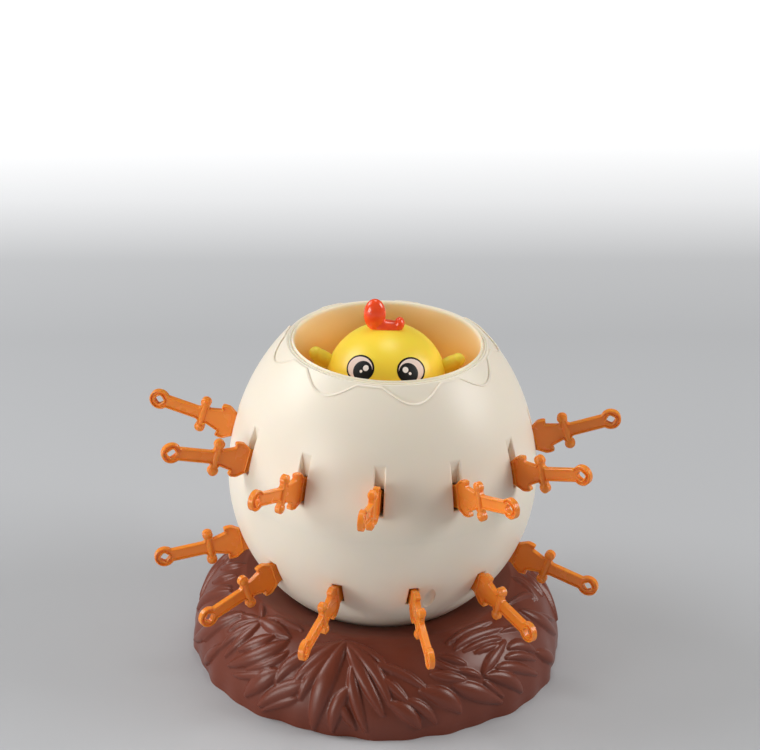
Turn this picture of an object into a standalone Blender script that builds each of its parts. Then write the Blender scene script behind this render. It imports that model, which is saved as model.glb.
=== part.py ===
"""Pop-up chicken egg game.

A brown nest carries a hollow egg. Toy swords go through two rows of slots in the egg. Inside, a rotor that
turns with the chick hides a trigger: the sword that reaches it frees the latch, and the plunger throws the
chick out. Metres, +Z up, origin on the floor under the egg's axis, the chick faces -Y.
"""

import math

import bmesh
import bpy
from mathutils import Matrix, Vector

# Clearances between pieces, and how far a cutter runs past what it cuts
GAP = 0.0003
SCREW_GAP = 0.0003
CUT_PAST = 0.0020

# Egg: widest radius, its height, the two half heights and how full each half is
EGG_RADIUS = 0.0621
EGG_CENTRE_Z = 0.0800
EGG_TOP_HALF = 0.0759
EGG_BOTTOM_HALF = 0.0644
EGG_TOP_POWER = 1.917
EGG_BOTTOM_POWER = 2.012
EGG_WALL = 0.0022
EGG_FLOOR_Z = 0.0240
RIM_Z = 0.1366
RIM_WALL = 0.0017
TONGUE_HEIGHT = 0.0032
TONGUE_WALL = 0.0009
SNAP_BEAD_Z = 0.1312
SNAP_BEAD_HEIGHT = 0.0013
SNAP_BEAD_REACH = 0.0020
EGG_STEPS = 36
PETAL_STEPS = 48

# Broken-shell step round the mouth
PETALS = 8
PETAL_TIP_Z = 0.1308
PETAL_PEAK_Z = 0.1363
PETAL_TIP_AZIMUTH = math.radians(13)
PETAL_DEPTH = 0.0008
PETAL_BAND_REACH = 0.0030

# Lens-shaped dent in the lower shell
DENT_AZIMUTH = math.radians(22.4)
DENT_Z = 0.0505
DENT_HALF_SIZE = (0.0016, 0.0020, 0.0070)
DENT_LEAN = math.radians(-24)

# Sword slots: one row in each shell, with guide blocks behind them. Depths run in from the egg's surface
SLOTS_PER_ROW = 12
SLOT_WIDTH = 0.0038
GUIDE_WIDTH = 0.0078
GUIDE_BORDER = 0.0015
GUIDE_DEPTH = 0.0070
UPPER_ROW_Z = 0.0958
UPPER_SLOT_BELOW = 0.0068
UPPER_SLOT_ABOVE = 0.0067
UPPER_SWORD_DEPTH = 0.0033
GROOVE_ABOVE = 0.0147
GROOVE_DEPTH = 0.0046
LOWER_ROW_Z = 0.0532
LOWER_SLOT_BELOW = 0.0066
LOWER_SLOT_ABOVE = 0.0064
LOWER_SWORD_DEPTH = 0.0023

# Each sword's slot, counted round from the front of the egg towards +X, its lean and its sideways turn in
# degrees. The other eight slots are empty.
UPPER_SWORDS = (
    (1, 16, -9),
    (2, 16, 9),
    (3, 17, -4),
    (4, 20, -2),
    (7, 14, 4),
    (10, 14, -9),
    (11, 14, -8),
    (12, 16, 0),
)
LOWER_SWORDS = (
    (1, -15, -1),
    (2, -12, -6),
    (3, -14, -4),
    (6, -13, 6),
    (7, -18, -6),
    (10, -10, -2),
    (11, -19, -8),
    (12, -14, -5),
)

# Sword: distances along its axis from the middle of the slot, outwards positive, and half widths
SWORD_THICKNESS = 0.0024
BLADE_TIP_X = -0.0199
BLADE_CHAMFER = 0.0025
BLADE_TIP_HALF = 0.0015
BLADE_END_HALF = 0.0036
BLADE_HALF = 0.0046
SHOULDER_X = 0.0024
SHOULDER_PEAK = (0.0068, 0.0073)
SHOULDER_END = (0.0097, 0.0070)
SHOULDER_STEP = (0.0094, 0.0049)
NECK_HALF = 0.0032
GUARD_X = 0.0164
GUARD_BAR_HALF_LENGTH = 0.0015
GUARD_HALF = 0.0078
GUARD_BALL_RADIUS = 0.0021
GRIP_HALF = 0.0026
RING_X = 0.0349
RING_RADIUS = 0.0041
RING_HOLE_RADIUS = 0.0019
TONGUE_X = (-0.0106, -0.0040)
TONGUE_HALF = 0.0023
TONGUE_SLIT = 0.0007

# Nest: outer outline as radius and height, wall and the seat that follows the egg
NEST_OUTLINE = (
    (0.0754, 0.0000),
    (0.0758, 0.0045),
    (0.0747, 0.0110),
    (0.0712, 0.0200),
    (0.0660, 0.0265),
    (0.0600, 0.0310),
    (0.0540, 0.0330),
)
NEST_LIP_Z = 0.0292
NEST_WALL = 0.0024
BOWL_HEIGHTS = (0.0256, 0.0274, NEST_LIP_Z)
BOWL_UNDERSIDE_REACH = 0.0053

# Main carved leaves of the nest, given for one half and repeated on the other: azimuth in degrees and way up
# the slope at the foot, the middle and the tip, and half width, both in mm
LEAVES = (
    (-74, 34, -82, 24, -88, 12, 2.4),
    (-58, 33, -64, 24, -69, 12, 2.6),
    (-49, 36, -41, 38, -33, 36, 2.2),
    (-48, 35, -53, 27, -57, 17, 1.9),
    (-48, 35, -50, 26, -54, 15, 1.9),
    (-39, 33, -44, 27, -49, 21, 2.2),
    (-34, 31, -40, 24, -50, 14, 2.8),
    (-30, 22, -40, 15, -48, 11, 1.6),
    (-31, 20, -36, 14, -41, 6, 3.4),
    (-17, 36, -26, 28, -31, 17, 2.6),
    (-15, 36, -19, 30, -25, 19, 2.2),
    (-21, 20, -28, 13, -34, 5, 3.2),
    (-23, 13, -28, 9, -34, 3, 1.9),
    (-12, 36, -19, 25, -22, 13, 2.4),
    (-12, 36, -15, 21, -17, 2, 3.4),
    (-7, 21, -10, 13, -11, 2, 2.4),
    (-8, 31, -4, 18, 0, 4, 2.4),
    (-10, 36, -3, 26, 4, 11, 2.2),
    (-9, 36, 0, 30, 6, 15, 2.2),
    (0, 31, 9, 28, 18, 20, 1.7),
    (6, 16, 11, 11, 15, 4, 2.8),
    (11, 17, 16, 13, 20, 6, 1.9),
    (17, 20, 23, 15, 28, 8, 3.2),
    (28, 20, 34, 15, 43, 7, 3.2),
    (20, 26, 25, 24, 31, 21, 2.1),
    (54, 37, 42, 39, 31, 36, 2.2),
    (52, 29, 43, 25, 38, 21, 2.0),
    (40, 19, 47, 14, 53, 6, 2.8),
    (44, 21, 51, 18, 61, 9, 2.0),
    (52, 26, 58, 22, 64, 14, 2.4),
    (70, 34, 76, 24, 83, 12, 2.6),
)
LEAF_HEIGHT = 0.0013
LEAF_TOP_SHARE = 0.5
LEAF_SIDE_DEPTH = 0.0003
LEAF_KEEL_DEPTH = 0.0012
LEAF_STATIONS = ((0.25, 0.8), (0.5, 1.0), (0.75, 0.75))

# Bottom cover and the four screws that clamp cover, nest, egg and chassis
COVER_THICKNESS = 0.0030
COUNTERBORE_DEPTH = 0.0018
SCREW_CIRCLE = 0.0220
SCREW_SHANK_RADIUS = 0.0013
SCREW_HEAD_RADIUS = 0.0029
SCREW_HEAD_HEIGHT = 0.0012
RECESS_DEPTH = 0.0006
RECESS_REACH = 0.0018
RECESS_HALF = 0.00045
SCREW_TOP_Z = 0.0318
POST_RADIUS = 0.0038
SCREWS = 4

# Mechanism chassis on the egg's floor
CHASSIS_RADIUS = 0.0270
CHASSIS_WALL = 0.0018
CHASSIS_PLATE_Z = 0.0310
CHASSIS_PLATE = 0.0024
BEARING_RING = (0.0140, 0.0160)
BEARING_RING_HEIGHT = 0.0010

# Selector rotor: spigot in the chassis, spring tube, table with rails, cap with the square guide
SPIGOT_RADIUS = 0.0050
FLANGE_RADIUS = 0.0200
FLANGE_THICKNESS = 0.0020
TUBE_BORE = 0.0080
TUBE_WALL = 0.0020
TABLE_Z = 0.0690
TABLE_THICKNESS = 0.0020
TABLE_RADIUS = 0.0170
TABLE_HOLE = 0.0056
RAIL_INSIDE = 0.0063
RAIL_WIDTH = 0.0040
RAIL_REAR_X = -0.0124
RAIL_FRONT_X = 0.0120
RAIL_REAR_WALL = 0.0016
CAP_THICKNESS = 0.0020
CAP_TOP_Z = 0.0860
CAP_COLLAR_RADIUS = 0.0070
WASHER_RADIUS = 0.0080
WASHER_THICKNESS = 0.0012
CAP_SCREW_X = -0.0070
CAP_SCREW_SHANK = 0.0009
CAP_SCREW_HEAD = 0.0019
ROTOR_AZIMUTH = math.radians(7.5)

# Trigger slide: latch plate, nose, arm and paddle, drawn pressed in with the nose clear of the stem
TRIGGER_THICKNESS = 0.0026
TRIGGER_TRAVEL = 0.0018
NOSE_THICKNESS = 0.0012
NOSE_LENGTH = 0.0010
LATCH_BAR = 0.0025
LATCH_FRONT_X = 0.0110
ARM_HALF_WIDTH = 0.0026
JOIN_OVERLAP = 0.0010
PADDLE_THICKNESS = 0.0022
PADDLE_BOTTOM_Z = 0.0540
PADDLE_TOP_Z = 0.0950
PADDLE_GAP = 0.0010

# Springs
LAUNCH_WIRE = 0.0009
LAUNCH_RADIUS = 0.0063
LAUNCH_TURNS = 5
TRIGGER_WIRE = 0.0005
TRIGGER_COIL_RADIUS = 0.0009
TRIGGER_TURNS = 3
COIL_POINTS = 9

# Chick: ball, stem with ribs, plunger under it
BALL_RADIUS = 0.0242
BALL_WALL = 0.0018
SOCKET_WALL = 0.0014
BALL_Z = 0.1188
COMB_Y = 0.0
WING_Y = 0.0005
BEAK_ELEVATION = math.radians(12)
BEAK_HALF_SIZE = (0.0060, 0.0050, 0.0054)
FOOT_ELEVATION = math.radians(-35)
FOOT_AZIMUTH = math.radians(47)
FOOT_THICKNESS = 0.0018
TOE_LENGTH = 0.0046
TOE_ROOT = 0.0020
TOE_FAN = 42
TOE_TIP_HALF = 9
HEEL = ((0.0012, 0.0006), (0.0, 0.0016), (-0.0012, 0.0006))

# Lobes of the comb: sideways place and height above the ball's top. Lobes of a wing: place past the ball's
# side and height above its middle. Then half size and turn
COMB_LOBES = (
    (-0.0054, 0.0051, (0.0043, 0.0032, 0.0065), 0),
    (-0.0004, -0.0002, (0.0060, 0.0030, 0.0022), 0),
    (0.0045, 0.0016, (0.0019, 0.0024, 0.0027), 0),
)
WING_LOBES = (
    (0.0014, 0.0094, (0.0062, 0.0026, 0.0030), -30),
    (0.0012, 0.0046, (0.0052, 0.0024, 0.0028), -12),
    (0.0004, 0.0004, (0.0038, 0.0022, 0.0024), 8),
)
STEM_CORE_HALF = 0.0026
STEM_RIB_HALF = 0.0035
STEM_PITCH = 0.0030
STEM_RIB = 0.0012
STEM_BOTTOM_Z = 0.0495
STEM_SOCKET = 0.0050
PLUNGER_THICKNESS = 0.0035
PLUNGER_BOSS_RADIUS = 0.0046
PLUNGER_BOSS = 0.0045

# Inner cup: lip, depth, how full its wall is, neck and snap flange
CUP_WALL = 0.0014
CUP_LIP_RISE = 0.0009
CUP_LIP_WIDTH = 0.0023
CUP_DEPTH = 0.0469
CUP_DOWN_POWER = 2.4
CUP_IN_POWER = 2.3
CUP_DROPS = (0.0, 0.0080, 0.0160, 0.0240, 0.0330, 0.0405, 0.0447)
CUP_NECK_LENGTH = 0.0086
CUP_FLANGE = 0.0014


def start_scene():
    """Clear the file and make one collection for the parts and one for the cutters."""
    for old in list(bpy.data.objects):
        bpy.data.objects.remove(old, do_unlink=True)
    parts = bpy.data.collections.new("pop_up_chicken_egg_game")
    cutters = bpy.data.collections.new("cutters")
    for collection in (parts, cutters):
        bpy.context.scene.collection.children.link(collection)
    return parts, cutters


PARTS, CUTTERS = start_scene()


def plastic(name, colour, roughness, metallic=0.0):
    finish = bpy.data.materials.new(name)
    finish.use_nodes = True
    shader = finish.node_tree.nodes["Principled BSDF"]
    shader.inputs["Base Color"].default_value = (*colour, 1.0)
    shader.inputs["Roughness"].default_value = roughness
    shader.inputs["Metallic"].default_value = metallic
    return finish


CREAM = plastic("cream_plastic", (0.86, 0.79, 0.68), 0.35)
PEACH = plastic("peach_plastic", (0.86, 0.56, 0.28), 0.40)
NEST_BROWN = plastic("brown_plastic", (0.13, 0.045, 0.028), 0.38)
SWORD_ORANGE = plastic("orange_plastic", (0.72, 0.22, 0.035), 0.30)
CHICK_YELLOW = plastic("yellow_plastic", (0.93, 0.60, 0.045), 0.32)
WING_YELLOW = plastic("amber_plastic", (0.92, 0.46, 0.04), 0.32)
COMB_RED = plastic("red_plastic", (0.74, 0.035, 0.02), 0.25)
BEAK_ORANGE = plastic("beak_plastic", (0.80, 0.16, 0.01), 0.32)
MECHANISM_GREY = plastic("natural_plastic", (0.62, 0.62, 0.60), 0.45)
TRIGGER_BLUE = plastic("trigger_plastic", (0.30, 0.42, 0.60), 0.40)
SPRING_STEEL = plastic("spring_steel", (0.58, 0.58, 0.60), 0.28, 1.0)


def add_part(name, mesh, finish):
    obj = bpy.data.objects.new(name, mesh)
    mesh.materials.clear()
    mesh.materials.append(finish)
    PARTS.objects.link(obj)
    return obj


def add_cutter(name, mesh):
    obj = bpy.data.objects.new(name, mesh)
    obj.hide_render = True
    obj.display_type = "WIRE"
    CUTTERS.objects.link(obj)
    return obj


def combine(obj, other, operation, overlapping=False):
    """Cut, join or trim obj with another object, whose bodies may overlap, through a Boolean modifier."""
    modifier = obj.modifiers.new(operation.lower() + "_" + other.name, "BOOLEAN")
    modifier.operation = operation
    modifier.object = other
    modifier.solver = "EXACT"
    modifier.use_self = overlapping


def mesh_from(name, build):
    """A mesh that build() fills in a fresh bmesh, with its normals pointing out."""
    shape = bmesh.new()
    build(shape)
    bmesh.ops.recalc_face_normals(shape, faces=shape.faces)
    mesh = bpy.data.meshes.new(name)
    shape.to_mesh(mesh)
    shape.free()
    return mesh


def cylinder_into(shape, radius, low_z, high_z, x=0.0, y=0.0, sides=16):
    place = Matrix.Translation((x, y, (low_z + high_z) / 2))
    bmesh.ops.create_cone(
        shape, cap_ends=True, segments=sides, radius1=radius, radius2=radius, depth=high_z - low_z,
        matrix=place,
    )


def box_into(shape, low, high, turn=0.0):
    """A box between two corners, turned about Z afterwards."""
    size = Vector(high) - Vector(low)
    middle = (Vector(high) + Vector(low)) / 2
    place = Matrix.Rotation(turn, 4, "Z") @ Matrix.Translation(middle) @ Matrix.Diagonal((*size, 1.0))
    bmesh.ops.create_cube(shape, size=1.0, matrix=place)


def ellipsoid_into(shape, centre, half_size, turn=None, segments=10, rings=7):
    place = Matrix.Translation(centre) @ (turn or Matrix.Identity(4)) @ Matrix.Diagonal((*half_size, 1.0))
    bmesh.ops.create_uvsphere(shape, u_segments=segments, v_segments=rings, radius=1.0, matrix=place)


def turned_mesh(name, profile, closed=True):
    """A profile in the XZ plane, as radius and height, that runs down its outer side."""
    mesh = bpy.data.meshes.new(name)
    count = len(profile)
    edges = [(i, i + 1) for i in range(count - 1)]
    if closed:
        edges.append((count - 1, 0))
    mesh.from_pydata([(r, 0.0, z) for r, z in profile], edges, [])
    return mesh


def spin(obj, steps):
    modifier = obj.modifiers.new("screw", "SCREW")
    modifier.axis = "Z"
    modifier.angle = 2 * math.pi
    modifier.steps = steps
    modifier.render_steps = steps
    modifier.use_merge_vertices = True
    modifier.merge_threshold = 0.000001
    modifier.use_smooth_shade = True


def turned(name, profile, finish, steps=32, closed=True):
    obj = add_part(name, turned_mesh(name, profile, closed), finish)
    spin(obj, steps)
    return obj


def plate_mesh(name, loops, thickness, place=None):
    """A flat outline, with inner loops as holes, extruded to a thickness about its own plane."""
    curve = bpy.data.curves.new(name, "CURVE")
    curve.dimensions = "2D"
    curve.fill_mode = "BOTH"
    curve.extrude = thickness / 2
    for loop in loops:
        spline = curve.splines.new("POLY")
        spline.points.add(len(loop) - 1)
        for point, (x, y) in zip(spline.points, loop):
            point.co = (x, y, 0.0, 1.0)
        spline.use_cyclic_u = True
    holder = bpy.data.objects.new(name, curve)
    bpy.context.scene.collection.objects.link(holder)
    graph = bpy.context.evaluated_depsgraph_get()
    mesh = bpy.data.meshes.new_from_object(holder.evaluated_get(graph))
    bpy.data.objects.remove(holder)
    bpy.data.curves.remove(curve)
    shape = bmesh.new()
    shape.from_mesh(mesh)
    bmesh.ops.remove_doubles(shape, verts=shape.verts, dist=0.000001)
    bmesh.ops.recalc_face_normals(shape, faces=shape.faces)
    if place is not None:
        bmesh.ops.transform(shape, matrix=place, verts=shape.verts)
    shape.to_mesh(mesh)
    shape.free()
    mesh.name = name
    return mesh


def upright(azimuth):
    """Takes an outline drawn as radius and height to the vertical plane at an azimuth from the front."""
    to_xz = Matrix.Rotation(math.radians(90), 4, "X")
    return Matrix.Rotation(azimuth - math.radians(90), 4, "Z") @ to_xz


def around(count, offset=0.0):
    return [offset + 2 * math.pi * i / count for i in range(count)]


def arc(centre_x, centre_y, radius, first, last, count):
    """Points on an arc between two angles in degrees, both ends included."""
    points = []
    for i in range(count):
        angle = math.radians(first + (last - first) * i / max(count - 1, 1))
        points.append((centre_x + radius * math.cos(angle), centre_y + radius * math.sin(angle)))
    return points


def joined_mesh(name, meshes):
    def build(shape):
        for mesh in meshes:
            shape.from_mesh(mesh)

    result = mesh_from(name, build)
    for mesh in meshes:
        bpy.data.meshes.remove(mesh)
    return result


def least_gap(points, wire):
    """How near one turn of a wire comes to the next, from the points of its middle line."""
    half_turn = COIL_POINTS // 2
    spans = [(a - b).length for i, a in enumerate(points) for b in points[i + half_turn :]]
    return min(spans) - wire


def coil(name, start, axis, radius, wire, length, turns, finish):
    """A helical spring along an axis, as one tube with filled ends."""
    curve = bpy.data.curves.new(name, "CURVE")
    curve.dimensions = "3D"
    curve.bevel_depth = wire / 2
    curve.bevel_resolution = 1
    curve.use_fill_caps = True
    count = turns * COIL_POINTS + 1
    frame = axis.to_track_quat("Z", "Y").to_matrix()
    points = []
    for i in range(count):
        angle = 2 * math.pi * i / COIL_POINTS
        local = Vector((radius * math.cos(angle), radius * math.sin(angle), length * i / (count - 1)))
        points.append(start + frame @ local)
    print(f"{name}: least gap to itself {1000 * least_gap(points, wire):.2f} mm")
    spline = curve.splines.new("POLY")
    spline.points.add(count - 1)
    for point, place in zip(spline.points, points):
        point.co = (*place, 1.0)
    obj = bpy.data.objects.new(name, curve)
    curve.materials.append(finish)
    PARTS.objects.link(obj)
    return obj


def egg_radius(z, inset=0.0):
    """Radius of the egg at a height, or of a surface inset from it."""
    half, power = EGG_BOTTOM_HALF, EGG_BOTTOM_POWER
    if z >= EGG_CENTRE_Z:
        half, power = EGG_TOP_HALF, EGG_TOP_POWER
    share = min(abs(z - EGG_CENTRE_Z) / (half - inset), 1.0)
    return (EGG_RADIUS - inset) * math.sqrt(1 - share**power)


def egg_outline(high_z, low_z, count, inset=0.0):
    """Points down the egg between two heights, closer together towards its ends."""
    points = []
    for i in range(count):
        share = i / (count - 1)
        z = high_z + (low_z - high_z) * share
        points.append((egg_radius(z, inset), z))
    return points


def offset_outline(points, distance):
    """The same open outline moved square to itself, to the left of its direction."""
    moved = []
    for i, (r, z) in enumerate(points):
        before = points[max(i - 1, 0)]
        after = points[min(i + 1, len(points) - 1)]
        run = Vector((after[0] - before[0], after[1] - before[1])).normalized()
        moved.append((r - run.y * distance, z + run.x * distance))
    return moved


def slot_cutter(name, outline, azimuths):
    return add_cutter(
        name, joined_mesh(name, [plate_mesh(name, [outline], SLOT_WIDTH, upright(a)) for a in azimuths])
    )


def guide_blocks(name, low_z, high_z, inner_radius, azimuths):
    """Blocks on the inside of a shell, from the guide radius out to the middle of the wall."""
    low = low_z - GUIDE_BORDER
    high = high_z + GUIDE_BORDER
    wall_side = egg_outline(high, low, 4, EGG_WALL / 2)
    outline = [(inner_radius, high)] + wall_side + [(inner_radius, low)]
    return add_cutter(
        name, joined_mesh(name, [plate_mesh(name, [outline], GUIDE_WIDTH, upright(a)) for a in azimuths])
    )


def sword_pivots():
    """Radius and height of the points where the upper and the lower swords' own origins lie."""
    upper = egg_radius(UPPER_ROW_Z) - UPPER_SWORD_DEPTH, UPPER_ROW_Z
    lower = egg_radius(LOWER_ROW_Z) - LOWER_SWORD_DEPTH, LOWER_ROW_Z
    return upper, lower


def petal_line_z(azimuth):
    """Height of the broken edge at an azimuth: low at the tips, high at the peaks."""
    wave = 0.5 - 0.5 * math.cos(PETALS * (azimuth - PETAL_TIP_AZIMUTH))
    return PETAL_TIP_Z + (PETAL_PEAK_Z - PETAL_TIP_Z) * wave


def petal_cutter():
    """A band round the mouth whose lower edge is the broken line and whose inside is the sunk surface."""

    def build(shape):
        rings = []
        for azimuth in around(PETAL_STEPS):
            low = petal_line_z(azimuth)
            high = RIM_Z + CUT_PAST
            ring = []
            for out, z in ((0.0, high), (PETAL_BAND_REACH, high), (PETAL_BAND_REACH, low), (0.0, low)):
                r = egg_radius(z) - PETAL_DEPTH + out
                ring.append(shape.verts.new((r * math.sin(azimuth), -r * math.cos(azimuth), z)))
            rings.append(ring)
        for ring, following in zip(rings, rings[1:] + rings[:1]):
            for i in range(4):
                j = (i + 1) % 4
                shape.faces.new((ring[i], ring[j], following[j], following[i]))

    return add_cutter("petal_band", mesh_from("petal_band", build))


def egg_upper_shell():
    seam_z = EGG_CENTRE_Z + GAP / 2
    rebate_top = EGG_CENTRE_Z + TONGUE_HEIGHT + GAP
    rebate_inset = EGG_WALL - TONGUE_WALL - GAP
    bead_low = SNAP_BEAD_Z - SNAP_BEAD_HEIGHT
    outside = egg_outline(RIM_Z, seam_z, 7)
    rebate = [(egg_radius(z, rebate_inset), z) for z in (seam_z, rebate_top)]
    inside = egg_outline(bead_low - SNAP_BEAD_REACH, rebate_top, 5, EGG_WALL)[::-1]
    bead_radius = egg_radius(SNAP_BEAD_Z, EGG_WALL) - SNAP_BEAD_REACH
    bead = [
        (bead_radius, bead_low),
        (bead_radius, SNAP_BEAD_Z),
        (egg_radius(SNAP_BEAD_Z, EGG_WALL), SNAP_BEAD_Z),
    ]
    mouth = [(egg_radius(RIM_Z) - RIM_WALL, RIM_Z)]
    shell = turned("egg_upper_shell", outside + rebate + inside + bead + mouth, CREAM, EGG_STEPS)
    azimuths = around(SLOTS_PER_ROW)
    low = UPPER_ROW_Z - UPPER_SLOT_BELOW
    high = UPPER_ROW_Z + UPPER_SLOT_ABOVE
    groove_top = UPPER_ROW_Z + GROOVE_ABOVE
    surface = egg_radius(UPPER_ROW_Z)
    guide_inner = surface - GUIDE_DEPTH
    clear = EGG_RADIUS + CUT_PAST
    groove_foot = surface - GROOVE_DEPTH
    ramp = (egg_radius(groove_top) - groove_foot) / (groove_top - high)
    ramp_end = groove_top + CUT_PAST
    groove = [
        (guide_inner - CUT_PAST, low),
        (clear, low),
        (clear, ramp_end),
        (groove_foot + ramp * (ramp_end - high), ramp_end),
        (groove_foot, high),
        (guide_inner - CUT_PAST, high),
    ]
    guides = guide_blocks("upper_guides", low, groove_top, guide_inner, azimuths)
    combine(shell, guides, "UNION")
    combine(shell, slot_cutter("upper_slots", groove, azimuths), "DIFFERENCE")
    combine(shell, petal_cutter(), "DIFFERENCE")
    return shell


def screw_places():
    return [
        (SCREW_CIRCLE * math.cos(a), SCREW_CIRCLE * math.sin(a)) for a in around(SCREWS, math.radians(45))
    ]


def screw_hole_cutter():
    """Clearance for the shanks of the four base screws, from under the cover to above their tips."""

    def build(shape):
        for x, y in screw_places():
            cylinder_into(shape, SCREW_SHANK_RADIUS + SCREW_GAP, -CUT_PAST, SCREW_TOP_Z + GAP, x, y, 10)

    return add_cutter("base_screw_holes", mesh_from("base_screw_holes", build))


def dent_cutter():
    def build(shape):
        radius = egg_radius(DENT_Z)
        centre = (radius * math.sin(DENT_AZIMUTH), -radius * math.cos(DENT_AZIMUTH), DENT_Z)
        face_out = Matrix.Rotation(DENT_AZIMUTH - math.radians(90), 4, "Z")
        ellipsoid_into(shape, centre, DENT_HALF_SIZE, face_out @ Matrix.Rotation(DENT_LEAN, 4, "X"))

    return add_cutter("dent", mesh_from("dent", build))


def egg_lower_shell(screw_holes):
    seam_z = EGG_CENTRE_Z - GAP / 2
    floor_top = EGG_FLOOR_Z + EGG_WALL
    tongue_inset = EGG_WALL - TONGUE_WALL
    tongue_top = EGG_CENTRE_Z + TONGUE_HEIGHT
    outside = egg_outline(seam_z, EGG_FLOOR_Z, 8)
    inside = egg_outline(seam_z, floor_top, 6, EGG_WALL)[::-1]
    tongue = [
        (egg_radius(tongue_top, EGG_WALL), tongue_top),
        (egg_radius(tongue_top, tongue_inset), tongue_top),
        (egg_radius(seam_z, tongue_inset), seam_z),
    ]
    profile = [(0.0, floor_top)] + inside + tongue + outside + [(0.0, EGG_FLOOR_Z)]
    shell = turned("egg_lower_shell", profile, CREAM, EGG_STEPS, closed=False)
    azimuths = around(SLOTS_PER_ROW, math.pi / SLOTS_PER_ROW)
    low = LOWER_ROW_Z - LOWER_SLOT_BELOW
    high = LOWER_ROW_Z + LOWER_SLOT_ABOVE
    guide_inner = egg_radius(LOWER_ROW_Z) - GUIDE_DEPTH
    deep = guide_inner - CUT_PAST
    clear = EGG_RADIUS + CUT_PAST
    slot = [(deep, low), (clear, low), (clear, high), (deep, high)]
    combine(shell, guide_blocks("lower_guides", low, high, guide_inner, azimuths), "UNION")
    combine(shell, slot_cutter("lower_slots", slot, azimuths), "DIFFERENCE")
    combine(shell, dent_cutter(), "DIFFERENCE")
    combine(shell, screw_holes, "DIFFERENCE")
    return shell


def on_nest(azimuth, slope, out):
    """A point by azimuth in degrees and way up the nest's outline in mm, moved square to its surface."""
    walked = 0.0
    for (r0, z0), (r1, z1) in zip(NEST_OUTLINE, NEST_OUTLINE[1:]):
        span = math.hypot(r1 - r0, z1 - z0)
        if walked + span >= slope / 1000 or (r1, z1) == NEST_OUTLINE[-1]:
            break
        walked += span
    share = (slope / 1000 - walked) / span
    r = r0 + (r1 - r0) * share + out * (z1 - z0) / span
    z = z0 + (z1 - z0) * share - out * (r1 - r0) / span
    turn = math.radians(azimuth)
    return Vector((r * math.sin(turn), -r * math.cos(turn), z)), r


def leaves_into(shape):
    """The nest's main leaves as low flat-topped ridges that taper to both ends and stand in its wall."""
    for half_turn in (0, 180):
        for a0, s0, a1, s1, a2, s2, half in LEAVES:
            foot = shape.verts.new(on_nest(a0 + half_turn, s0, -LEAF_SIDE_DEPTH)[0])
            tip = shape.verts.new(on_nest(a2 + half_turn, s2, -LEAF_SIDE_DEPTH)[0])
            rings = []
            for share, width in LEAF_STATIONS:
                bend = 4 * share * (1 - share)
                azimuth = a0 + (a2 - a0) * share + (a1 - (a0 + a2) / 2) * bend + half_turn
                slope = s0 + (s2 - s0) * share + (s1 - (s0 + s2) / 2) * bend
                keel, radius = on_nest(azimuth, slope, -LEAF_KEEL_DEPTH)
                degree = math.radians(1) * radius * 1000
                run = Vector(((a2 - a0) * degree, s2 - s0)).normalized() * half * width
                edges = (
                    (-LEAF_TOP_SHARE, LEAF_HEIGHT * width),
                    (LEAF_TOP_SHARE, LEAF_HEIGHT * width),
                    (1, -LEAF_SIDE_DEPTH),
                    (-1, -LEAF_SIDE_DEPTH),
                )
                ring = []
                for way, out in edges:
                    place, _ = on_nest(azimuth + way * run.y / degree, slope - way * run.x, out)
                    ring.append(shape.verts.new(place))
                rings.append(ring[:3] + [shape.verts.new(keel)] + ring[3:])
            for i in range(5):
                j = (i + 1) % 5
                shape.faces.new((foot, rings[0][i], rings[0][j]))
                shape.faces.new((tip, rings[-1][j], rings[-1][i]))
                for near, far in zip(rings, rings[1:]):
                    shape.faces.new((near[i], far[i], far[j], near[j]))


def nest_base(screw_holes):
    """Hollow dome with a bowl that follows the egg, and four posts under the bowl."""
    seat_z = EGG_FLOOR_Z - GAP
    bowl_radius = egg_radius(EGG_FLOOR_Z) + GAP
    bowl = [(0.0, seat_z), (bowl_radius, seat_z)] + [(egg_radius(z) + GAP, z) for z in BOWL_HEIGHTS]
    top = list(NEST_OUTLINE[::-1]) + [(NEST_OUTLINE[0][0] - NEST_WALL, 0.0)]
    under_dome = offset_outline(NEST_OUTLINE[2::2], NEST_WALL)
    under_bowl = [
        (bowl_radius + BOWL_UNDERSIDE_REACH, NEST_LIP_Z - NEST_WALL),
        (bowl_radius, seat_z - NEST_WALL),
        (0.0, seat_z - NEST_WALL),
    ]
    profile = bowl + top + under_dome + under_bowl
    nest = turned("nest_base", profile, NEST_BROWN, EGG_STEPS, closed=False)

    def posts(shape):
        for x, y in screw_places():
            cylinder_into(shape, POST_RADIUS, COVER_THICKNESS + GAP, seat_z - NEST_WALL / 2, x, y, 10)

    combine(nest, add_cutter("nest_posts", mesh_from("nest_posts", posts)), "UNION")
    combine(nest, add_cutter("nest_leaves", mesh_from("nest_leaves", leaves_into)), "UNION", True)
    combine(nest, screw_holes, "DIFFERENCE")
    return nest


def base_cover(screw_holes):
    """Plate that closes the nest and is the face that the toy rests on."""
    radius = NEST_OUTLINE[0][0] - NEST_WALL - GAP
    profile = [(0.0, COVER_THICKNESS), (radius, COVER_THICKNESS), (radius, 0.0), (0.0, 0.0)]
    cover = turned("base_cover", profile, NEST_BROWN, EGG_STEPS, closed=False)

    def counterbores(shape):
        for x, y in screw_places():
            cylinder_into(shape, SCREW_HEAD_RADIUS + GAP, -CUT_PAST, COUNTERBORE_DEPTH, x, y, 12)

    combine(cover, add_cutter("counterbores", mesh_from("counterbores", counterbores)), "DIFFERENCE")
    combine(cover, screw_holes, "DIFFERENCE")
    return cover


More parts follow.
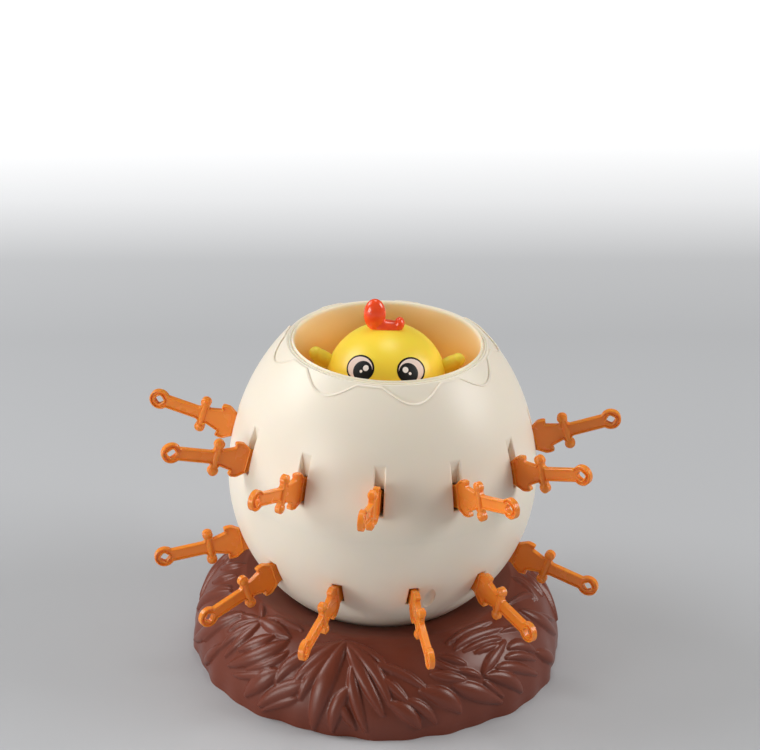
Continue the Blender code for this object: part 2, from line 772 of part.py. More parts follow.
def recess_cutter(name, x, y, face_z):
    """A straight screwdriver slot up into a head whose face looks down."""

    def build(shape):
        low = (x - RECESS_REACH, y - RECESS_HALF, face_z - CUT_PAST)
        box_into(shape, low, (x + RECESS_REACH, y + RECESS_HALF, face_z + RECESS_DEPTH))

    return add_cutter(name, mesh_from(name, build))


def base_screws():
    head_top = COUNTERBORE_DEPTH - GAP
    head_low = head_top - SCREW_HEAD_HEIGHT
    for i, (x, y) in enumerate(screw_places()):
        profile = [
            (0.0, SCREW_TOP_Z),
            (SCREW_SHANK_RADIUS, SCREW_TOP_Z - SCREW_SHANK_RADIUS),
            (SCREW_SHANK_RADIUS, head_top),
            (SCREW_HEAD_RADIUS, head_top),
            (SCREW_HEAD_RADIUS, head_low),
            (0.0, head_low),
        ]
        name = f"base_screw_{i + 1}"
        screw = add_part(name, turned_mesh(name, profile, closed=False), SPRING_STEEL)
        spin(screw, 10)
        screw.location = (x, y, 0.0)
        combine(screw, recess_cutter(name + "_recess", x, y, head_low), "DIFFERENCE")


def mechanism_chassis(screw_holes):
    """Inverted dish on the egg's floor, with screw bosses, the rotor's bearing hole and a bearing ring."""
    foot_z = EGG_FLOOR_Z + EGG_WALL + GAP
    top_z = CHASSIS_PLATE_Z + CHASSIS_PLATE
    ring_top = top_z + BEARING_RING_HEIGHT
    bore = SPIGOT_RADIUS + GAP
    inside = CHASSIS_RADIUS - CHASSIS_WALL
    profile = [
        (bore, top_z),
        (BEARING_RING[0], top_z),
        (BEARING_RING[0], ring_top),
        (BEARING_RING[1], ring_top),
        (BEARING_RING[1], top_z),
        (CHASSIS_RADIUS, top_z),
        (CHASSIS_RADIUS, foot_z),
        (inside, foot_z),
        (inside, CHASSIS_PLATE_Z),
        (bore, CHASSIS_PLATE_Z),
    ]
    chassis = turned("mechanism_chassis", profile, MECHANISM_GREY, 24)

    def bosses(shape):
        for x, y in screw_places():
            cylinder_into(shape, POST_RADIUS - GAP, foot_z, top_z - CHASSIS_PLATE / 2, x, y, 10)

    combine(chassis, add_cutter("chassis_bosses", mesh_from("chassis_bosses", bosses)), "UNION")
    combine(chassis, screw_holes, "DIFFERENCE")
    return chassis


def rotor_heights():
    """Heights of the rotor's flange underside, spring floor, and the trigger's channel."""
    flange_low = CHASSIS_PLATE_Z + CHASSIS_PLATE + BEARING_RING_HEIGHT + GAP
    spring_floor = flange_low + FLANGE_THICKNESS
    channel_floor = TABLE_Z + TABLE_THICKNESS
    channel_top = channel_floor + TRIGGER_THICKNESS + 2 * GAP
    return flange_low, spring_floor, channel_floor, channel_top


def cap_screw_places():
    return [(CAP_SCREW_X, side * (RAIL_INSIDE + RAIL_WIDTH / 2)) for side in (-1, 1)]


def cap_screw_hole_cutter(rotor_turn):
    _, _, channel_floor, channel_top = rotor_heights()

    def build(shape):
        for x, y in cap_screw_places():
            high = channel_top + CAP_THICKNESS + CUT_PAST
            cylinder_into(shape, CAP_SCREW_SHANK + SCREW_GAP, channel_floor, high, x, y, 10)
        bmesh.ops.transform(shape, matrix=rotor_turn, verts=shape.verts)

    return add_cutter("cap_screw_holes", mesh_from("cap_screw_holes", build))


def selector_rotor(rotor_turn, cap_holes):
    """Spring tube on a flange, with a table on top that carries the trigger slide between rails."""
    flange_low, spring_floor, channel_floor, channel_top = rotor_heights()
    spigot_low = CHASSIS_PLATE_Z - GAP
    tube_outside = TUBE_BORE + TUBE_WALL
    hole = SCREW_SHANK_RADIUS + SCREW_GAP
    profile = [
        (0.0, spring_floor),
        (TUBE_BORE, spring_floor),
        (TUBE_BORE, TABLE_Z),
        (TABLE_HOLE, TABLE_Z),
        (TABLE_HOLE, channel_floor),
        (TABLE_RADIUS, channel_floor),
        (TABLE_RADIUS, TABLE_Z),
        (tube_outside, TABLE_Z),
        (tube_outside, spring_floor),
        (FLANGE_RADIUS, spring_floor),
        (FLANGE_RADIUS, flange_low),
        (SPIGOT_RADIUS, flange_low),
        (SPIGOT_RADIUS, spigot_low),
        (hole, spigot_low),
        (hole, flange_low + FLANGE_THICKNESS / 2),
        (0.0, flange_low + FLANGE_THICKNESS / 2),
    ]
    rotor = turned("selector_rotor", profile, MECHANISM_GREY, 20, closed=False)
    outer = RAIL_INSIDE + RAIL_WIDTH
    rear = RAIL_REAR_X - RAIL_REAR_WALL
    fence = [
        (RAIL_FRONT_X, -outer),
        (RAIL_FRONT_X, -RAIL_INSIDE),
        (RAIL_REAR_X, -RAIL_INSIDE),
        (RAIL_REAR_X, RAIL_INSIDE),
        (RAIL_FRONT_X, RAIL_INSIDE),
        (RAIL_FRONT_X, outer),
        (rear, RAIL_INSIDE + RAIL_WIDTH / 2),
        (rear, -RAIL_INSIDE - RAIL_WIDTH / 2),
    ]
    low = channel_floor - TABLE_THICKNESS / 2
    high = channel_top - GAP
    lift = Matrix.Translation((0.0, 0.0, (low + high) / 2))
    rails = add_cutter("rotor_rails", plate_mesh("rotor_rails", [fence], high - low, rotor_turn @ lift))
    combine(rotor, rails, "UNION")
    combine(rotor, cap_holes, "DIFFERENCE")
    return rotor


def rotor_cap(rotor_turn, cap_holes):
    """Lid over the trigger slide, with a collar whose square hole makes the rotor turn with the stem."""
    _, _, channel_floor, channel_top = rotor_heights()
    plate_top = channel_top + CAP_THICKNESS
    profile = [
        (0.0, CAP_TOP_Z),
        (CAP_COLLAR_RADIUS, CAP_TOP_Z),
        (CAP_COLLAR_RADIUS, plate_top),
        (TABLE_RADIUS - GAP, plate_top),
        (TABLE_RADIUS - GAP, channel_top),
        (0.0, channel_top),
    ]
    cap = turned("rotor_cap", profile, MECHANISM_GREY, 20, closed=False)
    half = STEM_RIB_HALF + GAP

    def square(shape):
        box_into(shape, (-half, -half, channel_top - CUT_PAST), (half, half, CAP_TOP_Z + CUT_PAST))

    combine(cap, add_cutter("cap_square_hole", mesh_from("cap_square_hole", square)), "DIFFERENCE")
    combine(cap, cap_holes, "DIFFERENCE")
    for i, (x, y) in enumerate(cap_screw_places()):
        head_low = plate_top + GAP
        head_high = head_low + SCREW_HEAD_HEIGHT
        outline = [
            (0.0, head_high),
            (CAP_SCREW_HEAD, head_high),
            (CAP_SCREW_HEAD, head_low),
            (CAP_SCREW_SHANK, head_low),
            (CAP_SCREW_SHANK, channel_floor + GAP),
            (0.0, channel_floor + GAP),
        ]
        name = f"cap_screw_{i + 1}"
        screw = add_part(name, turned_mesh(name, outline, closed=False), SPRING_STEEL)
        spin(screw, 10)
        screw.location = rotor_turn @ Vector((x, y, 0.0))
    return cap


def rotor_retainer():
    """Washer and screw under the chassis that keep the rotor's spigot in its bearing."""
    washer_top = CHASSIS_PLATE_Z - 2 * GAP
    washer_low = washer_top - WASHER_THICKNESS
    hole = SCREW_SHANK_RADIUS + SCREW_GAP
    washer = [
        (hole, washer_top),
        (WASHER_RADIUS, washer_top),
        (WASHER_RADIUS, washer_low),
        (hole, washer_low),
    ]
    turned("rotor_washer", washer, SPRING_STEEL, 20)
    head_top = washer_low - GAP
    flange_low = rotor_heights()[0]
    outline = [
        (0.0, flange_low + FLANGE_THICKNESS / 2 - GAP),
        (SCREW_SHANK_RADIUS, flange_low + FLANGE_THICKNESS / 2 - GAP),
        (SCREW_SHANK_RADIUS, head_top),
        (SCREW_HEAD_RADIUS, head_top),
        (SCREW_HEAD_RADIUS, head_top - SCREW_HEAD_HEIGHT),
        (0.0, head_top - SCREW_HEAD_HEIGHT),
    ]
    turned("rotor_screw", outline, SPRING_STEEL, 12, closed=False)


def trigger_slide(rotor_turn):
    """Latch plate round the stem with its nose on the far side, and an arm out to the paddle."""
    _, _, channel_floor, _ = rotor_heights()
    low = channel_floor + GAP
    high = low + TRIGGER_THICKNESS
    middle = (low + high) / 2
    nose_tip = -(STEM_CORE_HALF + GAP + TRIGGER_TRAVEL)
    window_rear = nose_tip - NOSE_LENGTH
    window_front = STEM_RIB_HALF + 2 * GAP
    window_half = STEM_RIB_HALF + 2 * GAP
    rear = window_rear - LATCH_BAR
    half = RAIL_INSIDE - GAP
    frame = [(rear, -half), (LATCH_FRONT_X, -half), (LATCH_FRONT_X, half), (rear, half)]
    window = [
        (window_rear, -window_half),
        (window_rear, window_half),
        (window_front, window_half),
        (window_front, -window_half),
    ]
    lift = rotor_turn @ Matrix.Translation((0.0, 0.0, middle))
    plate = plate_mesh("trigger_slide", [frame, window], high - low, lift)
    slide = add_part("trigger_slide", plate, TRIGGER_BLUE)

    def nose(shape):
        box_into(
            shape,
            (window_rear - LATCH_BAR / 2, -window_half - 2 * GAP, middle - NOSE_THICKNESS / 2),
            (nose_tip, window_half + 2 * GAP, middle + NOSE_THICKNESS / 2),
        )
        bmesh.ops.transform(shape, matrix=rotor_turn, verts=shape.verts)

    combine(slide, add_cutter("latch_nose", mesh_from("latch_nose", nose)), "UNION")
    (upper_radius, upper_z), (lower_radius, lower_z) = sword_pivots()
    low_tip = lower_radius + BLADE_TIP_X, lower_z
    high_tip = upper_radius + BLADE_TIP_X, upper_z
    slope = (high_tip[0] - low_tip[0]) / (high_tip[1] - low_tip[1])
    face_low = low_tip[0] - PADDLE_GAP + slope * (PADDLE_BOTTOM_Z - low_tip[1])
    face_high = low_tip[0] - PADDLE_GAP + slope * (PADDLE_TOP_Z - low_tip[1])
    face_arm = low_tip[0] - PADDLE_GAP + slope * (middle - low_tip[1])
    paddle = [
        (LATCH_FRONT_X - JOIN_OVERLAP, low),
        (face_arm - PADDLE_THICKNESS, low),
        (face_low - PADDLE_THICKNESS, PADDLE_BOTTOM_Z),
        (face_low, PADDLE_BOTTOM_Z),
        (face_high, PADDLE_TOP_Z),
        (face_high - PADDLE_THICKNESS, PADDLE_TOP_Z),
        (face_arm - PADDLE_THICKNESS, high),
        (LATCH_FRONT_X - JOIN_OVERLAP, high),
    ]
    arm_mesh = plate_mesh("trigger_arm", [paddle], 2 * ARM_HALF_WIDTH, upright(ROTOR_AZIMUTH))
    arm = add_cutter("trigger_arm", arm_mesh)
    combine(slide, arm, "UNION")
    return rear, middle


def springs(rotor_turn, slide_rear, slide_middle):
    _, spring_floor, _, _ = rotor_heights()
    low = spring_floor + GAP + LAUNCH_WIRE / 2
    high = STEM_BOTTOM_Z - GAP - PLUNGER_THICKNESS - GAP - LAUNCH_WIRE / 2
    coil(
        "launch_spring",
        Vector((0.0, 0.0, low)),
        Vector((0.0, 0.0, 1.0)),
        LAUNCH_RADIUS,
        LAUNCH_WIRE,
        high - low,
        LAUNCH_TURNS,
        SPRING_STEEL,
    )
    start_x = RAIL_REAR_X + GAP + TRIGGER_WIRE / 2
    end_x = slide_rear - GAP - TRIGGER_WIRE / 2
    outward = rotor_turn.to_3x3() @ Vector((1.0, 0.0, 0.0))
    coil(
        "trigger_spring",
        outward * start_x + Vector((0.0, 0.0, slide_middle)),
        outward,
        TRIGGER_COIL_RADIUS,
        TRIGGER_WIRE,
        end_x - start_x,
        TRIGGER_TURNS,
        SPRING_STEEL,
    )


def plunger():
    top = STEM_BOTTOM_Z - GAP
    low = top - PLUNGER_THICKNESS
    radius = TUBE_BORE - GAP
    profile = [
        (0.0, top),
        (radius, top),
        (radius, low),
        (PLUNGER_BOSS_RADIUS, low),
        (PLUNGER_BOSS_RADIUS, low - PLUNGER_BOSS),
        (0.0, low - PLUNGER_BOSS),
    ]
    return turned("plunger", profile, MECHANISM_GREY, 20, closed=False)


def inner_cup():
    """Cup whose lip fills the egg's mouth, with a flange under the bead and a neck round the collar."""
    neck_bore = CAP_COLLAR_RADIUS + GAP
    neck_outside = neck_bore + CUP_WALL
    lip_outside = egg_radius(RIM_Z) - RIM_WALL - GAP
    lip_z = RIM_Z + CUP_LIP_RISE
    floor_z = lip_z - CUP_DEPTH
    wall = []
    for drop in CUP_DROPS:
        share = (1 - (drop / CUP_DEPTH) ** CUP_DOWN_POWER) ** (1 / CUP_IN_POWER)
        wall.append(((lip_outside - CUP_LIP_WIDTH) * share, lip_z - drop))
    inside = wall + [(neck_bore, floor_z)]
    outside = offset_outline(wall, CUP_WALL)[2:]
    flange_low = SNAP_BEAD_Z + GAP
    flange_high = flange_low + CUP_FLANGE
    flange_radius = min(egg_radius(flange_high, EGG_WALL), egg_radius(flange_low, EGG_WALL)) - GAP
    profile = [
        (lip_outside, lip_z),
        (lip_outside, flange_high),
        (flange_radius, flange_high),
        (flange_radius, flange_low),
        (lip_outside, flange_low),
    ]
    profile += outside
    profile += [(neck_outside, floor_z - CUP_WALL), (neck_outside, floor_z - CUP_NECK_LENGTH)]
    profile += [(neck_bore, floor_z - CUP_NECK_LENGTH)] + inside[::-1]
    return turned("inner_cup", profile, PEACH, EGG_STEPS)


def on_ball(elevation, azimuth, distance):
    """A point at a distance from the ball's centre, by angle above level and angle from the front."""
    level = distance * math.cos(elevation)
    return Vector(
        (level * math.sin(azimuth), -level * math.cos(azimuth), BALL_Z + distance * math.sin(elevation))
    )


def ball_mesh(name, radius, segments, rings):
    def build(shape):
        ellipsoid_into(shape, (0.0, 0.0, BALL_Z), (radius, radius, radius), segments=segments, rings=rings)

    return mesh_from(name, build)


def lobe_mesh(name, centre, half_size, turn):
    def build(shape):
        ellipsoid_into(shape, centre, half_size, turn)

    return mesh_from(name, build)


def lobed_piece(name, lobes, finish, trim):
    """Overlapping ellipsoids joined to one solid, and trimmed to sit on the ball."""
    meshes = [lobe_mesh(name, *lobe) for lobe in lobes]
    piece = add_part(name, meshes[0], finish)
    for i, mesh in enumerate(meshes[1:]):
        combine(piece, add_cutter(f"{name}_lobe_{i + 2}", mesh), "UNION")
    combine(piece, trim, "DIFFERENCE")


def chick_body():
    """Hollow ball with a square socket for the stem, whose walls stand inside the hollow."""
    body = add_part("chick_body", ball_mesh("chick_body", BALL_RADIUS, 20, 14), CHICK_YELLOW)
    bottom = BALL_Z - BALL_RADIUS
    bore = STEM_CORE_HALF + GAP
    socket_top = bottom + STEM_SOCKET + GAP

    def square(half, low, high):
        def build(shape):
            box_into(shape, (-half, -half, low), (half, half, high))

        return build

    hollow = add_cutter("ball_hollow", ball_mesh("ball_hollow", BALL_RADIUS - BALL_WALL, 14, 10))
    walls = mesh_from("socket_walls", square(bore + SOCKET_WALL, bottom - CUT_PAST, socket_top))
    combine(hollow, add_cutter("socket_walls", walls), "DIFFERENCE")
    combine(body, hollow, "DIFFERENCE")
    opening = mesh_from("stem_socket", square(bore, bottom - CUT_PAST, socket_top + CUT_PAST))
    combine(body, add_cutter("stem_socket", opening), "DIFFERENCE")
    return body


def chick_stem():
    """Square stem whose grooves take the latch nose, with a plain end in the ball's socket."""
    ball_bottom = BALL_Z - BALL_RADIUS
    sections = []
    z = STEM_BOTTOM_Z
    while z + STEM_RIB + GAP < ball_bottom:
        sections += [(STEM_RIB_HALF, z), (STEM_RIB_HALF, z + STEM_RIB), (STEM_CORE_HALF, z + STEM_RIB)]
        sections += [(STEM_CORE_HALF, z + STEM_PITCH)]
        z += STEM_PITCH
    sections[-1] = (STEM_CORE_HALF, ball_bottom + STEM_SOCKET)

    def build(shape):
        half, low = sections[0]
        corners = [(-1, -1), (1, -1), (1, 1), (-1, 1)]
        foot = [shape.verts.new((x * half, y * half, low)) for x, y in corners]
        face = shape.faces.new(foot)
        for half, z in sections[1:]:
            grown = bmesh.ops.extrude_face_region(shape, geom=[face])
            shape.faces.remove(face)
            face = next(item for item in grown["geom"] if isinstance(item, bmesh.types.BMFace))
            for vert in face.verts:
                vert.co = (math.copysign(half, vert.co.x), math.copysign(half, vert.co.y), z)
        shape.faces.new(foot[::-1])

    return add_part("chick_stem", mesh_from("chick_stem", build), CHICK_YELLOW)


def chick_trim(trim):
    """Comb, beak, wings and feet: separate mouldings that sit on the ball."""
    top = BALL_Z + BALL_RADIUS
    comb = [((x, COMB_Y, top + up), size, Matrix.Identity(4)) for x, up, size, _ in COMB_LOBES]
    lobed_piece("chick_comb", comb, COMB_RED, trim)
    tilt = Matrix.Rotation(-BEAK_ELEVATION, 4, "X")
    beak = [(on_ball(BEAK_ELEVATION, 0.0, BALL_RADIUS), BEAK_HALF_SIZE, tilt)]
    lobed_piece("chick_beak", beak, BEAK_ORANGE, trim)
    for side, word in ((-1, "left"), (1, "right")):
        wing = []
        for x, up, size, turn in WING_LOBES:
            lean = Matrix.Rotation(side * math.radians(turn), 4, "Y")
            wing.append(((side * (BALL_RADIUS + x), WING_Y, BALL_Z + up), size, lean))
        lobed_piece("chick_wing_" + word, wing, WING_YELLOW, trim)
        chick_foot("chick_foot_" + word, side * FOOT_AZIMUTH, trim)


def chick_foot(name, azimuth, trim):
    """Three toes fanned from a heel, as a thin pad whose back follows the ball."""
    outline = []
    for fan in (-TOE_FAN, 0, TOE_FAN):
        outline += arc(0.0, 0.0, TOE_LENGTH, fan - 90 - TOE_TIP_HALF, fan - 90 + TOE_TIP_HALF, 3)
        if fan < TOE_FAN:
            outline += arc(0.0, 0.0, TOE_ROOT, fan - 90 + TOE_FAN / 2, fan - 90 + TOE_FAN / 2, 1)
    outline += HEEL
    outward = on_ball(FOOT_ELEVATION, azimuth, 1.0) - Vector((0.0, 0.0, BALL_Z))
    place = Matrix.Translation(on_ball(FOOT_ELEVATION, azimuth, BALL_RADIUS + FOOT_THICKNESS / 3))
    place = place @ outward.to_track_quat("Z", "Y").to_matrix().to_4x4()
    foot = add_part(name, plate_mesh(name, [outline], FOOT_THICKNESS, place), BEAK_ORANGE)
    combine(foot, trim, "DIFFERENCE")


def sword_mesh():
    """Flat sword drawn along +X: blade with a snap tongue, shoulder, ball-ended guard, grip and ring."""
    ball_y = GUARD_HALF - GUARD_BALL_RADIUS
    side = [
        (BLADE_TIP_X, BLADE_TIP_HALF),
        (BLADE_TIP_X + BLADE_CHAMFER, BLADE_END_HALF),
        (SHOULDER_X, BLADE_HALF),
        SHOULDER_PEAK,
        SHOULDER_END,
        SHOULDER_STEP,
        (GUARD_X - GUARD_BAR_HALF_LENGTH, NECK_HALF),
    ]
    bar_angle = math.degrees(math.acos(GUARD_BAR_HALF_LENGTH / GUARD_BALL_RADIUS))
    side += arc(GUARD_X, ball_y, GUARD_BALL_RADIUS, 180 + bar_angle, -bar_angle, 5)
    side += [(GUARD_X + GUARD_BAR_HALF_LENGTH, GRIP_HALF)]
    join = math.degrees(math.asin(GRIP_HALF / RING_RADIUS))
    ring = arc(RING_X, 0.0, RING_RADIUS, 180 - join, -180 + join, 7)
    outline = side + ring + [(x, -y) for x, y in side[::-1]]
    hole = arc(RING_X, 0.0, RING_HOLE_RADIUS, 0, 300, 6)
    rear, front = TONGUE_X
    inner = TONGUE_HALF - TONGUE_SLIT
    slit = [
        (front, TONGUE_HALF),
        (rear, TONGUE_HALF),
        (rear, -TONGUE_HALF),
        (front, -TONGUE_HALF),
        (front, -inner),
        (rear + TONGUE_SLIT, -inner),
        (rear + TONGUE_SLIT, inner),
        (front, inner),
    ]
    stand_up = Matrix.Rotation(math.radians(90), 4, "X")
    return plate_mesh("sword", [outline, hole, slit], SWORD_THICKNESS, stand_up)


def swords():
    mesh = sword_mesh()
    upper, lower = sword_pivots()
    rows = (
        ("upper", around(SLOTS_PER_ROW), upper, UPPER_SWORDS),
        ("lower", around(SLOTS_PER_ROW, math.pi / SLOTS_PER_ROW), lower, LOWER_SWORDS),
    )
    for row, azimuths, (radius, height), stuck in rows:
        for slot, lean, turn in stuck:
            azimuth = azimuths[slot - 1]
            sword = add_part(f"sword_{row}_{slot:02d}", mesh, SWORD_ORANGE)
            sword.location = (radius * math.sin(azimuth), -radius * math.cos(azimuth), height)
            heading = azimuth + math.radians(turn) - math.radians(90)
            sword.rotation_euler = (0.0, -math.radians(lean), heading)


screw_holes = screw_hole_cutter()
base_cover(screw_holes)
nest_base(screw_holes)
base_screws()
egg_lower_shell(screw_holes)
egg_upper_shell()
inner_cup()
mechanism_chassis(screw_holes)
rotor_turn = Matrix.Rotation(ROTOR_AZIMUTH - math.radians(90), 4, "Z")
cap_holes = cap_screw_hole_cutter(rotor_turn)
selector_rotor(rotor_turn, cap_holes)
rotor_cap(rotor_turn, cap_holes)
rotor_retainer()
rear, middle = trigger_slide(rotor_turn)
springs(rotor_turn, rear, middle)
plunger()
chick_body()
chick_stem()
chick_trim(add_cutter("ball_with_gap", ball_mesh("ball_with_gap", BALL_RADIUS + GAP, 20, 14)))
swords()
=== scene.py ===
import math

import bmesh
import bpy
import numpy as np
from mathutils import Matrix, Vector


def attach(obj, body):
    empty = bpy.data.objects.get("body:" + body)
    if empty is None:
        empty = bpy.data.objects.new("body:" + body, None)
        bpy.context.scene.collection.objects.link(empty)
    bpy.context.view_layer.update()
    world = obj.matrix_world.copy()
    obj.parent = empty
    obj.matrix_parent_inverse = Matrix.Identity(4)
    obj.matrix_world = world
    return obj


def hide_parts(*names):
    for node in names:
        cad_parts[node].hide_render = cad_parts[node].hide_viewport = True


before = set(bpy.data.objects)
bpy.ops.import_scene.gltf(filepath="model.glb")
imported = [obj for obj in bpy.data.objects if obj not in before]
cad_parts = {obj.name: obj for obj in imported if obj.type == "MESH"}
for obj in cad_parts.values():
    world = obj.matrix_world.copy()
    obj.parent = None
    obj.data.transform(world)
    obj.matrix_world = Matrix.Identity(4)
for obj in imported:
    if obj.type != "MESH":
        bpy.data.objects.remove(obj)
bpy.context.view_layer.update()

# Nest base. One thin-walled moulding in brown polypropylene, carved all over with lance-shaped leaves that
# fan out from a few knots. The egg stands in the bowl on its top, and its side bulges a little at the foot.
EGG_RADIUS = 0.0621
EGG_CENTRE_Z = 0.0800
EGG_HALVES = ((0.0644, 2.012), (0.0759, 1.917))
EGG_FLOOR_Z = 0.0240
NEST_OUTLINE = (
    (0.0540, 0.0330),
    (0.0600, 0.0310),
    (0.0660, 0.0265),
    (0.0712, 0.0200),
    (0.0747, 0.0110),
    (0.0758, 0.0045),
    (0.0754, 0.0000),
)
NEST_BRIM = ((0.0440, 0.0306), (0.0500, 0.0321))
NEST_UNDERSIDE = ((0.0716, 0.0110), (0.0683, 0.0190), (0.0633, 0.0248), (0.0575, 0.0285), (0.0520, 0.0296))
NEST_LIP_Z = 0.0292
NEST_COLUMNS = 900
NEST_ROWS = 93
# From foot to lip along the nest's side, in mm
NEST_SLOPE = 42.9
NEST_WALL = 0.0024
NEST_SEAT_GAP = 0.0003
NEST_WAVE = 0.0006
NEST_GROUND_DEPTH = 0.0004
NEST_BROWN = (0.166, 0.036, 0.018)
ON_OUTLINE = 0.00002
DRIFT_SCALE = 38.0
POLISH_SCALE = 150.0
GLOW_REACH = 0.003
COAT_ROUGHNESS = 0.08
# How a leaf stands proud: its least height, what a mm of half width adds, up to the widest, a step between
# neighbours, how full its crown is, the stretches of its spine, and its reach to either side in degrees
LEAF_HEIGHT = 0.00075
LEAF_HEIGHT_BY_WIDTH = 0.00042
LEAF_WIDEST = 2.6
LEAF_STAGGER = 0.0001
LEAF_FULLNESS = 0.55
LEAF_STRETCHES = 14
LEAF_REACH = 30
# Leaves in the order they lie on each other: azimuth in degrees and way up the slope in mm at the foot, the
# middle and the tip, and half width in mm
LEAVES = (
    (-49, 36, -41, 36, -33, 35, 2.4),
    (-49, 36, -41, 41, -30, 40, 1.4),
    (-49, 37, -53, 40, -57, 42, 1.0),
    (-50, 36, -54, 34, -59, 32, 1.0),
    (-49, 36, -55, 30, -58, 24, 1.2),
    (-48, 35, -53, 27, -57, 17, 1.8),
    (-48, 35, -50, 26, -54, 15, 1.8),
    (-39, 33, -44, 27, -49, 21, 2.2),
    (-33, 33, -40, 24, -51, 13, 2.8),
    (-31, 29, -35, 23, -43, 16, 1.6),
    (-30, 22, -40, 15, -48, 11, 1.4),
    (-31, 21, -36, 15, -41, 6, 3.2),
    (-13, 39, -26, 28, -31, 16, 2.4),
    (-13, 39, -19, 30, -25, 19, 2.4),
    (-21, 20, -28, 14, -35, 5, 3.0),
    (-23, 13, -28, 9, -34, 3, 1.8),
    (-12, 40, -19, 25, -22, 13, 2.2),
    (-11, 39, -15, 22, -17, 1, 3.4),
    (-7, 21, -10, 13, -11, 2, 2.4),
    (-9, 15, -7, 10, -4, 4, 1.6),
    (-7, 29, -5, 18, -1, 4, 2.0),
    (-10, 38, -3, 26, 4, 11, 2.2),
    (-11, 39, 0, 30, 6, 15, 2.2),
    (-12, 40, -1, 36, 7, 27, 1.2),
    (0, 31, 9, 28, 18, 20, 1.6),
    (3, 26, 7, 22, 12, 15, 1.6),
    (6, 16, 11, 12, 15, 5, 2.6),
    (11, 17, 16, 13, 20, 6, 1.8),
    (16, 20, 23, 16, 28, 9, 3.2),
    (53, 39, 40, 40, 29, 37, 1.4),
    (55, 34, 41, 37, 31, 34, 1.9),
    (51, 31, 43, 33, 34, 32, 1.2),
    (49, 29, 44, 30, 38, 30, 1.1),
    (52, 29, 43, 25, 38, 21, 1.9),
    (52, 26, 58, 24, 63, 18, 2.1),
    (49, 23, 55, 21, 62, 15, 1.6),
    (44, 21, 51, 18, 61, 9, 1.9),
    (53, 33, 58, 32, 62, 29, 0.9),
    (39, 20, 47, 15, 52, 7, 2.6),
    (38, 18, 40, 15, 44, 9, 1.2),
    (27, 20, 34, 15, 43, 7, 3.0),
    (20, 26, 25, 24, 31, 21, 2.1),
    (24, 33, 29, 30, 33, 27, 1.1),
    (21, 32, 25, 28, 30, 25, 1.2),
    (30, 25, 34, 23, 37, 20, 1.1),
    (75, 29, 80, 23, 89, 14, 1.1),
    (68, 40, 81, 35, 82, 30, 1.2),
    (-89, 26, -86, 32, -83, 38, 1.8),
    (-96, 29, -92, 36, -90, 42, 1.8),
    (-85, 22, -80, 30, -75, 35, 1.8),
    (-74, 34, -82, 24, -88, 12, 2.4),
    (-58, 33, -64, 24, -69, 12, 2.6),
    (-62, 26, -70, 15, -78, 5, 2.6),
    (-57, 18, -62, 10, -66, 3, 2.2),
    (70, 34, 76, 24, 83, 12, 2.6),
    (64, 17, 70, 11, 76, 4, 2.4),
)


def egg_radius(z, inset=0.0):
    """Radius of the egg at a height, or of a surface inset from it."""
    half, power = EGG_HALVES[int(z >= EGG_CENTRE_Z)]
    share = min(abs(z - EGG_CENTRE_Z) / (half - inset), 1.0)
    return (EGG_RADIUS - inset) * math.sqrt(1 - share**power)


def flowing(points, count):
    """The same line through its points as one smooth curve, in count even steps along it."""
    knots = [np.array(p, float) for p in points]
    knots = [2 * knots[0] - knots[1]] + knots + [2 * knots[-1] - knots[-2]]
    fine = []
    for a, b, c, d in zip(knots, knots[1:], knots[2:], knots[3:]):
        for t in np.linspace(0, 1, 40, endpoint=False):
            curve = 2 * b + (c - a) * t + (2 * a - 5 * b + 4 * c - d) * t**2 + (3 * b - a - 3 * c + d) * t**3
            fine.append(curve / 2)
    fine = np.array(fine + [knots[-2]])
    walk = np.concatenate([[0], np.cumsum(np.linalg.norm(np.diff(fine, axis=0), axis=1))])
    even = np.linspace(0, walk[-1], count)
    return [tuple(np.interp(even, walk, fine[:, i])[k] for i in range(fine.shape[1])) for k in range(count)]


def spun(profile, steps, closed=False, about=(0.0, 0.0)):
    """A bmesh turned from a profile of radius and height about an upright axis."""
    shape = bmesh.new()
    verts = [shape.verts.new((r, 0.0, z)) for r, z in profile]
    edges = [shape.edges.new(pair) for pair in zip(verts, verts[1:])]
    if closed:
        edges.append(shape.edges.new((verts[-1], verts[0])))
    bmesh.ops.spin(
        shape,
        geom=verts + edges,
        cent=(0, 0, 0),
        axis=(0, 0, 1),
        angle=2 * math.pi,
        steps=steps,
        use_merge=True,
    )
    bmesh.ops.remove_doubles(shape, verts=shape.verts, dist=0.000001)
    bmesh.ops.recalc_face_normals(shape, faces=shape.faces)
    bmesh.ops.translate(shape, vec=(*about, 0.0), verts=shape.verts)
    return shape


def finished(name, shape, finish, body, nodes=(), crease=35):
    """Turns a bmesh into a shown piece that rides on a body and stands for its CAD nodes."""
    mesh = bpy.data.meshes.new(name)
    shape.to_mesh(mesh)
    shape.free()
    return dressed(name, mesh, finish, body, nodes, crease)


def placed(name, data):
    """A new object in the scene."""
    item = bpy.data.objects.new(name, data)
    bpy.context.scene.collection.objects.link(item)
    return item


def dressed(name, mesh, finish, body, nodes=(), crease=35):
    """A shown piece from a mesh, with its finish and its body, and the CAD nodes it stands for."""
    piece = placed(name, mesh)
    mesh.materials.clear()
    mesh.materials.append(finish)
    mesh.shade_smooth()
    mesh.set_sharp_from_angle(angle=math.radians(crease))
    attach(piece, body)
    if nodes:
        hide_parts(*nodes)
    return piece


def fill(made, **values):
    """Gives the named sockets of a shader node plain values."""
    for key, value in values.items():
        made.inputs[key.replace("_", " ")].default_value = value


def node(tree, kind, **values):
    """A new shader node with plain values in its named sockets."""
    made = tree.nodes.new(kind)
    fill(made, **values)
    return made


